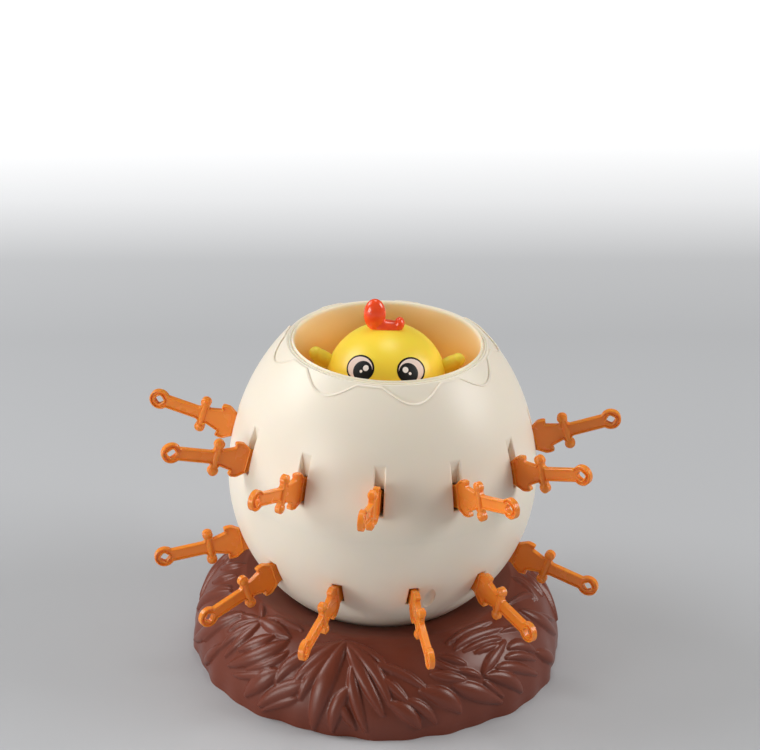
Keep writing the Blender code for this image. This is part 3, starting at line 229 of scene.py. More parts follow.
def wire(tree, source, output, target, socket):
    """Links an output of one shader node to a socket of another."""
    tree.links.new(source.outputs[output], target.inputs[socket])


def moulded_plastic(name, colour, roughness, mottle=0.06, grain=900.0, depth=0.00002, glow=0.0, coat=0.0):
    """Moulded plastic: the colour drifts a little, the polish is uneven, a fine grain breaks the gloss."""
    finish = bpy.data.materials.new(name)
    finish.use_nodes = True
    tree = finish.node_tree
    shader = tree.nodes["Principled BSDF"]
    place = node(tree, "ShaderNodeTexCoord")
    drift = node(tree, "ShaderNodeTexNoise", Scale=DRIFT_SCALE, Detail=3.0)
    tint = node(tree, "ShaderNodeMix")
    tint.data_type = "RGBA"
    fill(tint, A=(*[c * (1 - mottle) for c in colour], 1.0))
    fill(tint, B=(*[min(c * (1 + mottle), 1.0) for c in colour], 1.0))
    polish = node(tree, "ShaderNodeTexNoise", Scale=POLISH_SCALE, Detail=4.0)
    gloss = node(tree, "ShaderNodeMapRange", To_Min=roughness - 0.05, To_Max=roughness + 0.07)
    skin = node(tree, "ShaderNodeTexNoise", Scale=grain, Detail=2.0)
    bump = node(tree, "ShaderNodeBump", Strength=0.35, Distance=depth)
    for pattern in (drift, polish, skin):
        wire(tree, place, "Object", pattern, "Vector")
    wire(tree, drift, "Fac", tint, "Factor")
    wire(tree, tint, "Result", shader, "Base Color")
    wire(tree, polish, "Fac", gloss, "Value")
    wire(tree, gloss, "Result", shader, "Roughness")
    wire(tree, skin, "Fac", bump, "Height")
    wire(tree, bump, "Normal", shader, "Normal")
    fill(shader, Subsurface_Weight=glow, Subsurface_Radius=(1.0, 0.5, 0.25), Subsurface_Scale=GLOW_REACH)
    fill(shader, Coat_Weight=coat, Coat_Roughness=COAT_ROUGHNESS)
    return finish


def leaf_relief(azimuth, slope, radius):
    """Height in metres that the leaves stand proud, at azimuths in degrees and ways up the slope in mm."""
    relief = np.zeros_like(slope)
    share = np.linspace(0, 1, LEAF_STRETCHES + 1)
    belly = share * (1 - share)
    for turn in (0, 180):
        for order, (a0, s0, a1, s1, a2, s2, half) in enumerate(LEAVES):
            lean = np.outer(belly, (4 * a1 - 2 * a0 - 2 * a2, 4 * s1 - 2 * s0 - 2 * s2))
            spine = np.outer(1 - share, (a0, s0)) + np.outer(share, (a2, s2)) + lean
            across = (azimuth - turn - a1 + 180) % 360 - 180
            near = np.abs(across) < LEAF_REACH
            size = radius[near] * 1000
            x = np.radians(across[near]) * size
            y = slope[near]
            reach = np.full(near.sum(), 99.0)
            way = np.zeros(near.sum())
            for k, (start, end) in enumerate(zip(spine, spine[1:])):
                start_x = np.radians(start[0] - a1) * size
                run_x = np.radians(end[0] - a1) * size - start_x
                run_y = end[1] - start[1]
                t = np.clip(((x - start_x) * run_x + (y - start[1]) * run_y) / (run_x**2 + run_y**2), 0, 1)
                gap = np.hypot(x - start_x - t * run_x, y - start[1] - t * run_y)
                closer = gap < reach
                reach[closer] = gap[closer]
                way[closer] = ((k + t) / LEAF_STRETCHES)[closer]
            width = (half * 1.15 + 0.1) * np.sin(np.pi * (0.05 + 0.91 * way)) ** 0.65
            crown = np.clip(1 - (reach / width) ** 2, 0, 1) ** LEAF_FULLNESS
            height = LEAF_HEIGHT + LEAF_HEIGHT_BY_WIDTH * min(half, LEAF_WIDEST) + LEAF_STAGGER * (order % 3)
            lift = crown * height * (0.55 + 0.45 * np.sin(np.pi * way))
            relief[near] = np.maximum(relief[near], lift)
    return relief


def nest_shape():
    """The nest before it is carved, turned from its section, and the outline of its outside."""
    seat_z = EGG_FLOOR_Z - NEST_SEAT_GAP
    seat_radius = egg_radius(EGG_FLOOR_Z) + NEST_SEAT_GAP
    lip_radius = egg_radius(NEST_LIP_Z) + NEST_SEAT_GAP
    bowl = [(0.0, seat_z), (seat_radius, seat_z)]
    bowl += [(egg_radius(z) + NEST_SEAT_GAP, z) for z in np.linspace(0.0244, NEST_LIP_Z - 0.0003, 5)]
    bowl += [(lip_radius + 0.0002, NEST_LIP_Z), *NEST_BRIM]
    dome = flowing(NEST_OUTLINE, NEST_ROWS)
    foot = [(NEST_OUTLINE[-1][0] - NEST_WALL, 0.0)]
    under = [(seat_radius + 0.0053, 0.0268), (seat_radius, seat_z - NEST_WALL), (0.0, seat_z - NEST_WALL)]
    return spun(bowl + dome + foot + list(NEST_UNDERSIDE) + under, NEST_COLUMNS), dome


nest_mesh, dome = nest_shape()
nest_brown = moulded_plastic("nest_brown_plastic", NEST_BROWN, 0.33, 0.10, 700.0, 0.00003)
fill(nest_brown.node_tree.nodes["Principled BSDF"], Specular_IOR_Level=0.45)
nest = finished("carved_nest", nest_mesh, nest_brown, "root", ("nest_base",), 60)
places = np.empty(len(nest.data.vertices) * 3)
nest.data.vertices.foreach_get("co", places)
places = places.reshape(-1, 3)
ring = np.hypot(places[:, 0], places[:, 1])
outline = np.array(dome)
walked = np.concatenate([[0], np.cumsum(np.linalg.norm(np.diff(outline, axis=0), axis=1))])
nearest = np.hypot(ring[:, None] - outline[None, :, 0], places[:, 2, None] - outline[None, :, 1])
row = nearest.argmin(axis=1)
carved = nearest.min(axis=1) < ON_OUTLINE
slope = (walked[-1] - walked[row[carved]]) / walked[-1] * NEST_SLOPE
azimuth = np.degrees(np.arctan2(places[carved, 0], -places[carved, 1]))
fade = np.clip(slope / 3.0, 0.0, 1.0) * np.clip((NEST_SLOPE - 0.6 - slope) / 2.0, 0.0, 1.0)
wave = np.sin(np.radians(7 * azimuth + 40)) + 0.7 * np.sin(np.radians(17 * azimuth))
wave = NEST_WAVE * (wave + 0.6 * np.sin(np.radians(31 * azimuth + 80)))
proud = leaf_relief(azimuth, slope, ring[carved]) * (0.25 + 0.75 * fade)
proud *= np.clip(NEST_SLOPE - 0.3 - slope, 0.0, 1.0)
proud += wave * np.clip(1 - slope / 25, 0, 1) - NEST_GROUND_DEPTH * fade
run = np.gradient(outline, axis=0)
run /= np.linalg.norm(run, axis=1)[:, None]
out = np.stack([-run[:, 1], run[:, 0]], axis=1)[row[carved]]
places[carved, 0] *= 1 + proud * out[:, 0] / ring[carved]
places[carved, 1] *= 1 + proud * out[:, 0] / ring[carved]
places[carved, 2] = np.maximum(places[carved, 2] + proud * out[:, 1], 0.0)
nest.data.vertices.foreach_set("co", places.ravel())
nest.data.update()

# Bottom cover and its four screws. The cover is a flat brown moulding that closes the nest and is what the
# toy rests on; the screws go up through it, the nest and the egg's floor into the chassis.
BASE_SCREWS = 4
screw_steel = bpy.data.materials.new("screw_steel")
screw_steel.use_nodes = True
steel_tree = screw_steel.node_tree
steel = steel_tree.nodes["Principled BSDF"]
fill(steel, Metallic=1.0)
steel_place = node(steel_tree, "ShaderNodeTexCoord")
brushed = node(steel_tree, "ShaderNodeTexNoise", Scale=600.0, Detail=3.0)
steel_tint = node(steel_tree, "ShaderNodeMapRange", To_Min=0.50, To_Max=0.66)
steel_gloss = node(steel_tree, "ShaderNodeMapRange", To_Min=0.22, To_Max=0.38)
steel_bump = node(steel_tree, "ShaderNodeBump", Strength=0.3, Distance=0.00001)
wire(steel_tree, steel_place, "Object", brushed, "Vector")
wire(steel_tree, brushed, "Fac", steel_tint, "Value")
wire(steel_tree, brushed, "Fac", steel_gloss, "Value")
wire(steel_tree, steel_tint, "Result", steel, "Base Color")
wire(steel_tree, steel_gloss, "Result", steel, "Roughness")
wire(steel_tree, brushed, "Fac", steel_bump, "Height")
wire(steel_tree, steel_bump, "Normal", steel, "Normal")
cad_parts["base_cover"].material_slots[0].material = nest_brown
for number in range(1, BASE_SCREWS + 1):
    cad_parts[f"base_screw_{number}"].material_slots[0].material = screw_steel

# Lower egg shell. Cream ABS, moulded hollow, with twelve sword slots that have guides behind them and a lens
# shaped dent at the front. A tongue round its rim goes into the upper shell.
SHELL_CREAM = (0.89, 0.815, 0.700)
SHELL_WALL = 0.0022
SEAM_GAP = 0.00001
TONGUE_GAP = 0.0003
TONGUE_WALL = 0.0009
TONGUE_HEIGHT = 0.0032
SHELL_STEPS = 288
SHELL_CREASE = 32
SLOTS = 12
SLOT_HALF = 0.0019
SLOT_FLARE = 0.0007
SLOT_START = 0.0009
SLOT_THROAT = 0.0016
SLOT_REACH = 0.0120
GUIDE_HALF = 0.0039
GUIDE_DEPTH = 0.0070
GUIDE_BORDER = 0.0015
LOWER_MOUTH = (0.0484, 0.0579)
LOWER_SLOT = (0.0479, 0.0590)
LOWER_ROW_Z = 0.0532
SCREW_CIRCLE = 0.0220
SCREW_HOLE = 0.0016
SCREW_TOP_Z = 0.0321
DENT_AZIMUTH = math.radians(22.4)
DENT_Z = 0.0505
DENT_HALF_SIZE = (0.0020, 0.0024, 0.0066)
DENT_SLOPE = math.radians(27)


def at(radius, azimuth, z):
    """A point by its distance from the toy's axis, its angle round from the front and its height."""
    return Vector((radius * math.sin(azimuth), -radius * math.cos(azimuth), z))


def on_egg(across, z, depth, azimuth):
    """A point at a depth under the egg's surface, beside the middle line of a slot."""
    radius = egg_radius(z) - depth
    return at(radius, azimuth + across / radius, z)


def lofted(rings):
    """A closed bmesh from equal rings of points, one after another."""
    shape = bmesh.new()
    loops = []
    for ring in rings:
        verts = [shape.verts.new(p) for p in ring]
        edges = [shape.edges.new(pair) for pair in zip(verts, verts[1:] + verts[:1])]
        loops.append((verts, edges))
    for (_, near), (_, far) in zip(loops, loops[1:]):
        bmesh.ops.bridge_loops(shape, edges=near + far)
    for verts, _ in (loops[0], loops[-1]):
        shape.faces.new(verts)
    bmesh.ops.recalc_face_normals(shape, faces=shape.faces)
    return shape


def slot_ring(half, low, high, depth, azimuth, rows=12):
    """Up one side of a slot and down the other, at one depth."""
    sides = np.linspace(low, high, rows)
    ring = [on_egg(half, z, depth, azimuth) for z in sides]
    return ring + [on_egg(-half, z, depth, azimuth) for z in sides[::-1]]


def slot_rings(azimuth, mouth, inner, ramp):
    """Rings of a slot from outside the shell to past its guides, with a flared mouth of its own heights."""
    flares = [(-SLOT_START, SLOT_FLARE * 1.02)]
    for angle in np.linspace(4, 90, 7):
        depth = SLOT_FLARE * (1 - math.cos(math.radians(angle)))
        flares.append((depth, SLOT_FLARE * (1 - math.sin(math.radians(angle)))))
    flares += [(SLOT_THROAT, 0.0), (ramp, 0.0), (SLOT_REACH, 0.0)]
    rings = []
    for depth, flare in flares:
        share = min(depth / ramp, 1.0)
        low, high = (m + (i - m) * share for m, i in zip(mouth, inner))
        rings.append(slot_ring(SLOT_HALF + flare, low - flare, high, depth, azimuth))
    return rings


def merged(shapes):
    """One mesh from several bmeshes."""
    mesh = bpy.data.meshes.new("merged")
    whole = bmesh.new()
    for shape in shapes:
        shape.to_mesh(mesh)
        shape.free()
        whole.from_mesh(mesh)
    whole.to_mesh(mesh)
    whole.free()
    return mesh


def carve(mesh, cuts):
    """Applies joins and cuts to a mesh, each a mesh and an operation, and returns the result."""
    holder = placed("holder", mesh)
    tools = []
    for tool_mesh, operation in cuts:
        tool = placed("tool", tool_mesh)
        cut = holder.modifiers.new("cut", "BOOLEAN")
        cut.operation = operation
        cut.object = tool
        cut.solver = "EXACT"
        tools.append(tool)
    bpy.context.view_layer.update()
    result = bpy.data.meshes.new_from_object(holder.evaluated_get(bpy.context.evaluated_depsgraph_get()))
    for item in tools + [holder]:
        bpy.data.objects.remove(item)
    return result


def guide_block(azimuth, low, high, inner_radius):
    """A guide behind a slot, from the guide radius out to the middle of the shell's wall."""
    rows = np.linspace(low - GUIDE_BORDER, high + GUIDE_BORDER, 10)
    rings = []
    for inner in (True, False):
        ring = []
        for across, heights in ((GUIDE_HALF, rows), (-GUIDE_HALF, rows[::-1])):
            for z in heights:
                depth = egg_radius(z) - inner_radius if inner else SHELL_WALL / 2
                ring.append(on_egg(across, z, depth, azimuth))
        rings.append(ring)
    return lofted(rings)


def around(count, offset=0.0):
    """Even angles all the way round."""
    return [offset + 2 * math.pi * i / count for i in range(count)]


def screw_holes():
    """Cutters for the screw holes in the shell's floor."""
    holes = []
    for angle in around(BASE_SCREWS, math.radians(45)):
        spot = (SCREW_CIRCLE * math.cos(angle), SCREW_CIRCLE * math.sin(angle))
        section = [(0, -0.002), (SCREW_HOLE, -0.002), (SCREW_HOLE, SCREW_TOP_Z), (0, SCREW_TOP_Z)]
        holes.append(spun(section, 24, about=spot))
    return holes


def dent_lens():
    """A lens with pointed ends that leans along the shell."""
    place = Matrix.Translation(at(egg_radius(DENT_Z), DENT_AZIMUTH, DENT_Z))
    place = place @ Matrix.Rotation(DENT_AZIMUTH - math.radians(90), 4, "Z")
    place = place @ Matrix.Rotation(DENT_SLOPE, 4, "Y")
    place = place @ Matrix.Diagonal((*DENT_HALF_SIZE, 1.0))
    lens = bmesh.new()
    bmesh.ops.create_uvsphere(lens, u_segments=48, v_segments=40, radius=1.0)
    for vert in lens.verts:
        pinch = (1 - min(abs(vert.co.z), 1.0) ** 2) ** 0.3
        vert.co = place @ Vector((vert.co.x * pinch, vert.co.y * pinch, vert.co.z))
    return lens


def lower_shell_mesh():
    """The shell turned from its section, with guides joined on and slots, dent and screw holes cut out."""
    seam = EGG_CENTRE_Z - SEAM_GAP / 2
    floor_top = EGG_FLOOR_Z + SHELL_WALL
    tongue_top = EGG_CENTRE_Z + TONGUE_HEIGHT
    inset = SHELL_WALL - TONGUE_WALL
    heights = [*np.linspace(EGG_FLOOR_Z, 0.030, 8), *np.linspace(0.0315, seam - 0.0001, 40)]
    outside = [(0.0, EGG_FLOOR_Z), (0.016, EGG_FLOOR_Z)] + [(egg_radius(z), z) for z in heights]
    outside += [(egg_radius(seam), seam)]
    tongue = [(egg_radius(seam, inset), seam), (egg_radius(tongue_top, inset), tongue_top)]
    tongue += [(egg_radius(tongue_top, SHELL_WALL), tongue_top)]
    inside = [(egg_radius(z, SHELL_WALL), z) for z in np.linspace(seam, floor_top + 0.0006, 30)]
    inside += [(0.030, floor_top), (0.0, floor_top)]
    shell = merged([spun(outside + tongue + inside, SHELL_STEPS)])
    middles = around(SLOTS, math.pi / SLOTS)
    inner = egg_radius(LOWER_ROW_Z) - GUIDE_DEPTH
    guides = merged([guide_block(a, *LOWER_SLOT, inner) for a in middles])
    slots = merged([lofted(slot_rings(a, LOWER_MOUTH, LOWER_SLOT, GUIDE_DEPTH)) for a in middles])
    cuts = [(guides, "UNION"), (slots, "DIFFERENCE"), (merged([dent_lens()]), "DIFFERENCE")]
    return carve(shell, cuts + [(merged(screw_holes()), "DIFFERENCE")])


shell_cream = moulded_plastic("shell_cream_plastic", SHELL_CREAM, 0.38, 0.02, 500.0, 0.00002, glow=0.12)
lower_mesh = lower_shell_mesh()
lower_node = ("egg_lower_shell",)
dressed("lower_egg_shell", lower_mesh, shell_cream, "root", lower_node, SHELL_CREASE)

# Mechanism inside the egg: chassis, rotor with its cap, trigger slide, plunger, springs and small fasteners.
# Natural and blue acetal mouldings and steel wire; all keep their CAD form and get their real finish here.
natural_acetal = moulded_plastic("natural_acetal", (0.62, 0.61, 0.57), 0.42, 0.04, 800.0, 0.00002, glow=0.1)
trigger_blue = moulded_plastic("trigger_blue_acetal", (0.22, 0.36, 0.58), 0.36, 0.05, 800.0, 0.00002)
for name in ("mechanism_chassis", "selector_rotor", "rotor_cap", "plunger"):
    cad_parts[name].material_slots[0].material = natural_acetal
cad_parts["trigger_slide"].material_slots[0].material = trigger_blue
for name in ("cap_screw_1", "cap_screw_2", "rotor_washer", "rotor_screw", "launch_spring", "trigger_spring"):
    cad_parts[name].material_slots[0].material = screw_steel

# Upper egg shell. The same cream ABS, with twelve flared slots whose backs ramp out to the surface, and a
# broken-shell step round the mouth: eight rounded petals with a fine raised bead along their edge, above
# which the ground lies a little lower than the egg.
UPPER_MOUTH = (0.0913, 0.1105)
UPPER_SLOT = (0.0902, 0.1002)
UPPER_ROW_Z = 0.0958
GROOVE_RAMP = 0.0044
RIM_Z = 0.1366
RIM_WALL = 0.0017
PETAL_TIP_Z = 0.1309
PETAL_PEAK_Z = 0.1373
# Azimuths in degrees, the first again after a full turn
PETAL_TIPS = (-76.9, -31.4, 16.0, 60.0, 103.0, 148.0, 193.0, 238.0, 283.1)
PETAL_DEPTH = 0.0008
PETAL_STEPS = 480
PETAL_BEAD_RADIUS = 0.00040
PETAL_BEAD_SINK = 0.0001
SNAP_BEAD_Z = 0.1312
SNAP_BEAD_RISE = 0.0020


def petal_line_z(azimuth):
    """Height of the broken edge at an azimuth: low at the rounded tips, high at the broad peaks."""
    turned = (math.degrees(azimuth) - PETAL_TIPS[0]) % 360 + PETAL_TIPS[0]
    wave = 0.5 - 0.5 * math.cos(2 * math.pi * np.interp(turned, PETAL_TIPS, range(len(PETAL_TIPS))))
    return min(PETAL_TIP_Z + (PETAL_PEAK_Z - PETAL_TIP_Z) * wave, RIM_Z - 0.0004)


def petal_band():
    """What is cut away above the broken edge: a band round the mouth, with a small fillet at the step."""
    rows = [(0.0030, -0.00030, 0.0), (0.0009, -0.00022, 0.0), (0.00082, -0.00010, 0.0), (0.00070, 0.0, 0.0)]
    rows += [(0.00022, 0.00002, 0.0), (0.00006, 0.00010, 0.0), (0.0, 0.00026, 0.0)]
    rows += [(0.0, 0.0, share) for share in np.linspace(0.12, 1, 9)] + [(0.0038, 0.0, 1.0)]
    band = spun([(1 + i, i) for i in range(len(rows))], PETAL_STEPS, closed=True)
    for vert in band.verts:
        out, up, share = rows[round(vert.co.z)]
        azimuth = math.atan2(vert.co.x, -vert.co.y)
        line = petal_line_z(azimuth)
        z = line + up + (RIM_Z + 0.002 - line - up) * share
        vert.co = at(egg_radius(z) - PETAL_DEPTH + out, azimuth, z)
    bmesh.ops.recalc_face_normals(band, faces=band.faces)
    return band


def petal_bead():
    """A fine raised bead that runs along the broken edge."""
    bead = bmesh.new()
    loops = []
    for azimuth in np.linspace(0, 2 * math.pi, PETAL_STEPS, endpoint=False):
        line = petal_line_z(azimuth)
        loop = []
        for turn in range(0, 360, 45):
            z = line + PETAL_BEAD_RADIUS * math.sin(math.radians(turn))
            radius = egg_radius(z) - PETAL_BEAD_SINK + PETAL_BEAD_RADIUS * math.cos(math.radians(turn))
            loop.append(bead.verts.new(at(radius, azimuth, z)))
        loops.append(loop)
    for near, far in zip(loops, loops[1:] + loops[:1]):
        for i in range(len(near)):
            j = (i + 1) % len(near)
            bead.faces.new((near[i], near[j], far[j], far[i]))
    bmesh.ops.recalc_face_normals(bead, faces=bead.faces)
    return bead


def upper_shell_mesh():
    """The shell turned from its section, with guides and bead joined on and slots and petal band cut out."""
    seam = EGG_CENTRE_Z + SEAM_GAP / 2
    rebate_top = EGG_CENTRE_Z + TONGUE_HEIGHT + TONGUE_GAP
    inset = SHELL_WALL - TONGUE_WALL - TONGUE_GAP
    heights = [*np.linspace(seam + 0.0001, 0.129, 42), *np.linspace(0.1297, RIM_Z - 0.0003, 12)]
    outside = [(egg_radius(z), z) for z in heights][::-1]
    outside += [(egg_radius(seam), seam)]
    rebate = [(egg_radius(z, inset), z) for z in (seam, rebate_top)]
    inside = [(egg_radius(z, SHELL_WALL), z) for z in np.linspace(rebate_top, SNAP_BEAD_Z - 0.0033, 32)]
    wall = egg_radius(SNAP_BEAD_Z, SHELL_WALL)
    bead = wall - SNAP_BEAD_RISE
    inside += [(bead, SNAP_BEAD_Z - 0.0013), (bead, SNAP_BEAD_Z), (wall, SNAP_BEAD_Z)]
    mouth = egg_radius(RIM_Z) - RIM_WALL
    inside += [(mouth, RIM_Z - 0.0002), (mouth + 0.0001, RIM_Z), (egg_radius(RIM_Z) - 0.0003, RIM_Z)]
    shell = merged([spun(outside + rebate + inside, SHELL_STEPS, closed=True)])
    middles = around(SLOTS)
    inner = egg_radius(UPPER_ROW_Z) - GUIDE_DEPTH
    guides = merged([guide_block(a, UPPER_SLOT[0], UPPER_MOUTH[1], inner) for a in middles])
    slots = merged([lofted(slot_rings(a, UPPER_MOUTH, UPPER_SLOT, GROOVE_RAMP)) for a in middles])
    cuts = [(guides, "UNION"), (slots, "DIFFERENCE"), (merged([petal_band()]), "DIFFERENCE")]
    return carve(shell, cuts + [(merged([petal_bead()]), "UNION")])


upper_mesh = upper_shell_mesh()
upper_node = ("egg_upper_shell",)
dressed("upper_egg_shell", upper_mesh, shell_cream, "root", upper_node, SHELL_CREASE)

# Inner cup. A deep peach polypropylene cup snapped into the mouth; its thin lip stands a hair above the
# shell's, and the neck at its bottom goes round the rotor's collar.
CUP_WALL = 0.0014
CUP_LIP_RISE = 0.0009
CUP_LIP_WIDTH = 0.0023
CUP_DEPTH = 0.0469
CUP_STEPS = 220
CUP_FLANGE = 0.0014
NECK_BORE = 0.0073
NECK_LENGTH = 0.0086
CUP_LIP = (
    (0.0, 0.0010),
    (0.00015, 0.0007),
    (0.0005, 0.0006),
    (0.0008, 0.0007),
    (0.00095, 0.0011),
    (0.0011, 0.0009),
    (0.0013, 0.0003),
    (0.0016, 0.0),
    (0.0019, 0.00015),
    (0.0022, 0.0007),
)
# Colours by height under the cup's lip: cream at the lip, then peach, deepening to saturated orange low in
# the cup. The peach is the cup's own colour; the deepening towards the bottom is painted shade and bounced
# light.
CUP_COLOURS_AND_PAINTED_SHADE = (
    (-0.0300, (0.92, 0.37, 0.050)),
    (-0.0150, (0.97, 0.54, 0.130)),
    (-0.0050, (0.97, 0.70, 0.360)),
    (-0.0018, (0.97, 0.77, 0.500)),
    (-0.0008, (0.90, 0.83, 0.680)),
)


def cup_shape():
    """The cup turned from its section: lip, wall, neck and the flange over the shell's snap bead."""
    lip_out = egg_radius(RIM_Z) - RIM_WALL - SEAM_GAP
    lip_z = RIM_Z + CUP_LIP_RISE
    floor_z = lip_z - CUP_DEPTH
    wall = []
    for drop in np.concatenate([np.linspace(0.0016, 0.040, 34), np.linspace(0.041, 0.0462, 9)]):
        share = (1 - (drop / CUP_DEPTH) ** 2.4) ** (1 / 2.3)
        wall.append(((lip_out - CUP_LIP_WIDTH) * share, lip_z - drop))
    lip = [(lip_out - across, lip_z - drop) for across, drop in CUP_LIP]
    neck_low = floor_z - NECK_LENGTH
    neck = [(NECK_BORE + 0.0008, floor_z), (NECK_BORE, floor_z - 0.0008), (NECK_BORE, neck_low)]
    neck += [(NECK_BORE + CUP_WALL, neck_low), (NECK_BORE + CUP_WALL, floor_z - CUP_WALL)]
    back = []
    for (r0, z0), (r1, z1), (r2, z2) in zip(wall, wall[1:], wall[2:]):
        run = Vector((r2 - r0, z2 - z0)).normalized()
        back.append((r1 - run.y * CUP_WALL, z1 + run.x * CUP_WALL))
    flange_low = SNAP_BEAD_Z + SEAM_GAP
    flange_out = egg_radius(flange_low + CUP_FLANGE, SHELL_WALL) - SEAM_GAP
    flange = [(lip_out, flange_low), (flange_out, flange_low), (flange_out, flange_low + CUP_FLANGE)]
    flange += [(lip_out, flange_low + CUP_FLANGE)]
    back = [p for p in back if p[1] < flange_low - 0.0004][::-1]
    return spun(lip + wall + neck + back + flange, CUP_STEPS, closed=True)


def ramp_along(tree, place, axis, stops):
    """A colour ramp along one axis of the places an output gives, each stop a coordinate and a colour."""
    apart = node(tree, "ShaderNodeSeparateXYZ")
    tree.links.new(place, apart.inputs["Vector"])
    low, high = stops[0][0], stops[-1][0]
    share = node(tree, "ShaderNodeMapRange", From_Min=low, From_Max=high)
    wire(tree, apart, axis, share, "Value")
    ramp = node(tree, "ShaderNodeValToRGB")
    wire(tree, share, "Result", ramp, "Fac")
    while len(ramp.color_ramp.elements) < len(stops):
        ramp.color_ramp.elements.new(0.5)
    for element, (coordinate, colour) in zip(ramp.color_ramp.elements, stops):
        element.position = (coordinate - low) / (high - low)
        element.color = (*colour, 1.0)
    return ramp


def coloured_by_height(finish, base_z, colours):
    """Gives a white finish its colours by height, each a height over the base and a colour."""
    tree = finish.node_tree
    shader = tree.nodes["Principled BSDF"]
    stops = [(base_z + z, colour) for z, colour in colours]
    ramp = ramp_along(tree, node(tree, "ShaderNodeTexCoord").outputs["Object"], "Z", stops)
    tint = node(tree, "ShaderNodeMix")
    tint.data_type = "RGBA"
    tint.blend_type = "MULTIPLY"
    fill(tint, Factor=1.0)
    tree.links.new(shader.inputs["Base Color"].links[0].from_socket, tint.inputs["A"])
    wire(tree, ramp, "Color", tint, "B")
    wire(tree, tint, "Result", shader, "Base Color")


cup_finish_with_painted_shade = moulded_plastic("cup_peach_plastic_with_painted_shade", (1.0, 1.0, 1.0), 0.40, 0.03, 500.0, 0.00002, glow=0.25)
# The height ramp paints shade and bounced light into the cup's colour, so it grows deeper and more orange
# towards the bottom.
coloured_by_height(cup_finish_with_painted_shade, RIM_Z + CUP_LIP_RISE, CUP_COLOURS_AND_PAINTED_SHADE)
finished("peach_cup", cup_shape(), cup_finish_with_painted_shade, "root", ("inner_cup",), 40)

# Chick's ball and stem. A yellow ball, moulded in soft-gloss PVC, pressed onto a ribbed square stem that
# goes down through the neck of the cup into the plunger.
BALL_RADIUS = 0.0242
BALL_Z = 0.1188
CHICK_YELLOW = (1.0, 0.73, 0.055)
STEM_CORE = 0.0026
STEM_RIB = 0.0035
STEM_BOTTOM_Z = 0.0495
STEM_IN_BALL = 0.0050
STEM_PITCH = 0.0030
STEM_EDGE = 0.00022
STEM_RIB_HEIGHT = 0.0012


def ball_point(elevation, azimuth, distance=BALL_RADIUS):
    """A point at a distance from the ball's middle, by angle above level and angle from the front."""
    return at(distance * math.cos(elevation), azimuth, BALL_Z + distance * math.sin(elevation))


def add_block(shape, half, low, high):
    """Adds an upright square block about the toy's axis."""
    size = Matrix.Diagonal((2 * half, 2 * half, high - low, 1))
    bmesh.ops.create_cube(shape, size=1.0, matrix=Matrix.Translation((0, 0, (low + high) / 2)) @ size)


chick_yellow = moulded_plastic("chick_yellow_vinyl", CHICK_YELLOW, 0.34, 0.03, 700.0, 0.00001, glow=0.3)
ball = bmesh.new()
bmesh.ops.create_uvsphere(
    ball, u_segments=112, v_segments=72, radius=BALL_RADIUS, matrix=Matrix.Translation((0, 0, BALL_Z))
)
finished("chick_ball", ball, chick_yellow, "chick", ("chick_body",))

stem = bmesh.new()
stem_top = BALL_Z - BALL_RADIUS + STEM_IN_BALL
add_block(stem, STEM_CORE, STEM_BOTTOM_Z, stem_top)
z = STEM_BOTTOM_Z
while z + STEM_RIB_HEIGHT < BALL_Z - BALL_RADIUS:
    add_block(stem, STEM_RIB, z, z + STEM_RIB_HEIGHT)
    z += STEM_PITCH
bmesh.ops.bevel(
    stem, geom=stem.edges[:], offset=STEM_EDGE, segments=2, profile=0.5, material=-1, affect="EDGES"
)
finished("chick_stem_ribbed", stem, chick_yellow, "chick", ("chick_stem",))

# Eyes. Pad prints on the ball: a black line round a pinkish white, a big black pupil set inward and low,
# and two white glints in each. They are thin discs that follow the ball.
EYE_ELEVATION = math.radians(35.1)
EYE_AZIMUTH = math.radians(31.1)
SIDES = ((-1, "left"), (1, "right"))
PRINT_SINK = 0.0003
# Shift across and up from the eye's middle, half width and half height, and rise over the ball
PRINTS = {
    "line": ((0.0001, -0.0001), (0.0063, 0.0055), 0.00003),
    "white": ((0.0001, -0.0001), (0.0055, 0.0047), 0.00006),
    "pupil": ((0.0017, -0.0009), (0.0041, 0.0041), 0.00009),
    "glint": ((0.0027, 0.0006), (0.0012, 0.0012), 0.00012),
    "spark": ((0.0012, -0.0012), (0.0006, 0.0006), 0.00012),
}


def print_ink(name, colour):
    """Matt pad-print ink."""
    ink = moulded_plastic(name, colour, 0.45, 0.02, 1200.0, 0.000004)
    fill(ink.node_tree.nodes["Principled BSDF"], Specular_IOR_Level=0.2)
    return ink


eye_inks = {
    "line": print_ink("eye_line_ink", (0.006, 0.004, 0.005)),
    "white": print_ink("eye_white_ink", (0.84, 0.71, 0.67)),
    "pupil": print_ink("eye_pupil_ink", (0.006, 0.006, 0.008)),
    "glint": print_ink("eye_glint_ink", (0.92, 0.90, 0.90)),
    "spark": print_ink("eye_spark_ink", (0.92, 0.90, 0.90)),
}


def print_disc(middle, shift, half_size, rise):
    """A thin closed disc that follows the ball, moved sideways and up from a middle direction."""
    out = (middle - Vector((0, 0, BALL_Z))).normalized()
    side = Vector((0, 0, 1)).cross(out).normalized()
    up = out.cross(side)
    face = [(share, rise) for share in (0.0, 0.2, 0.4, 0.6, 0.8, 0.99)] + [(1.0, rise - 0.00002)]
    back = [(share, -PRINT_SINK) for share in (1.0, 0.5, 0.0)]
    disc = spun(face + back, 64)
    for vert in disc.verts:
        across = shift[0] + vert.co.x * half_size[0]
        high = shift[1] + vert.co.y * half_size[1]
        direction = (out * BALL_RADIUS + side * across + up * high).normalized()
        vert.co = Vector((0, 0, BALL_Z)) + direction * (BALL_RADIUS + vert.co.z)
    bmesh.ops.recalc_face_normals(disc, faces=disc.faces)
    return disc


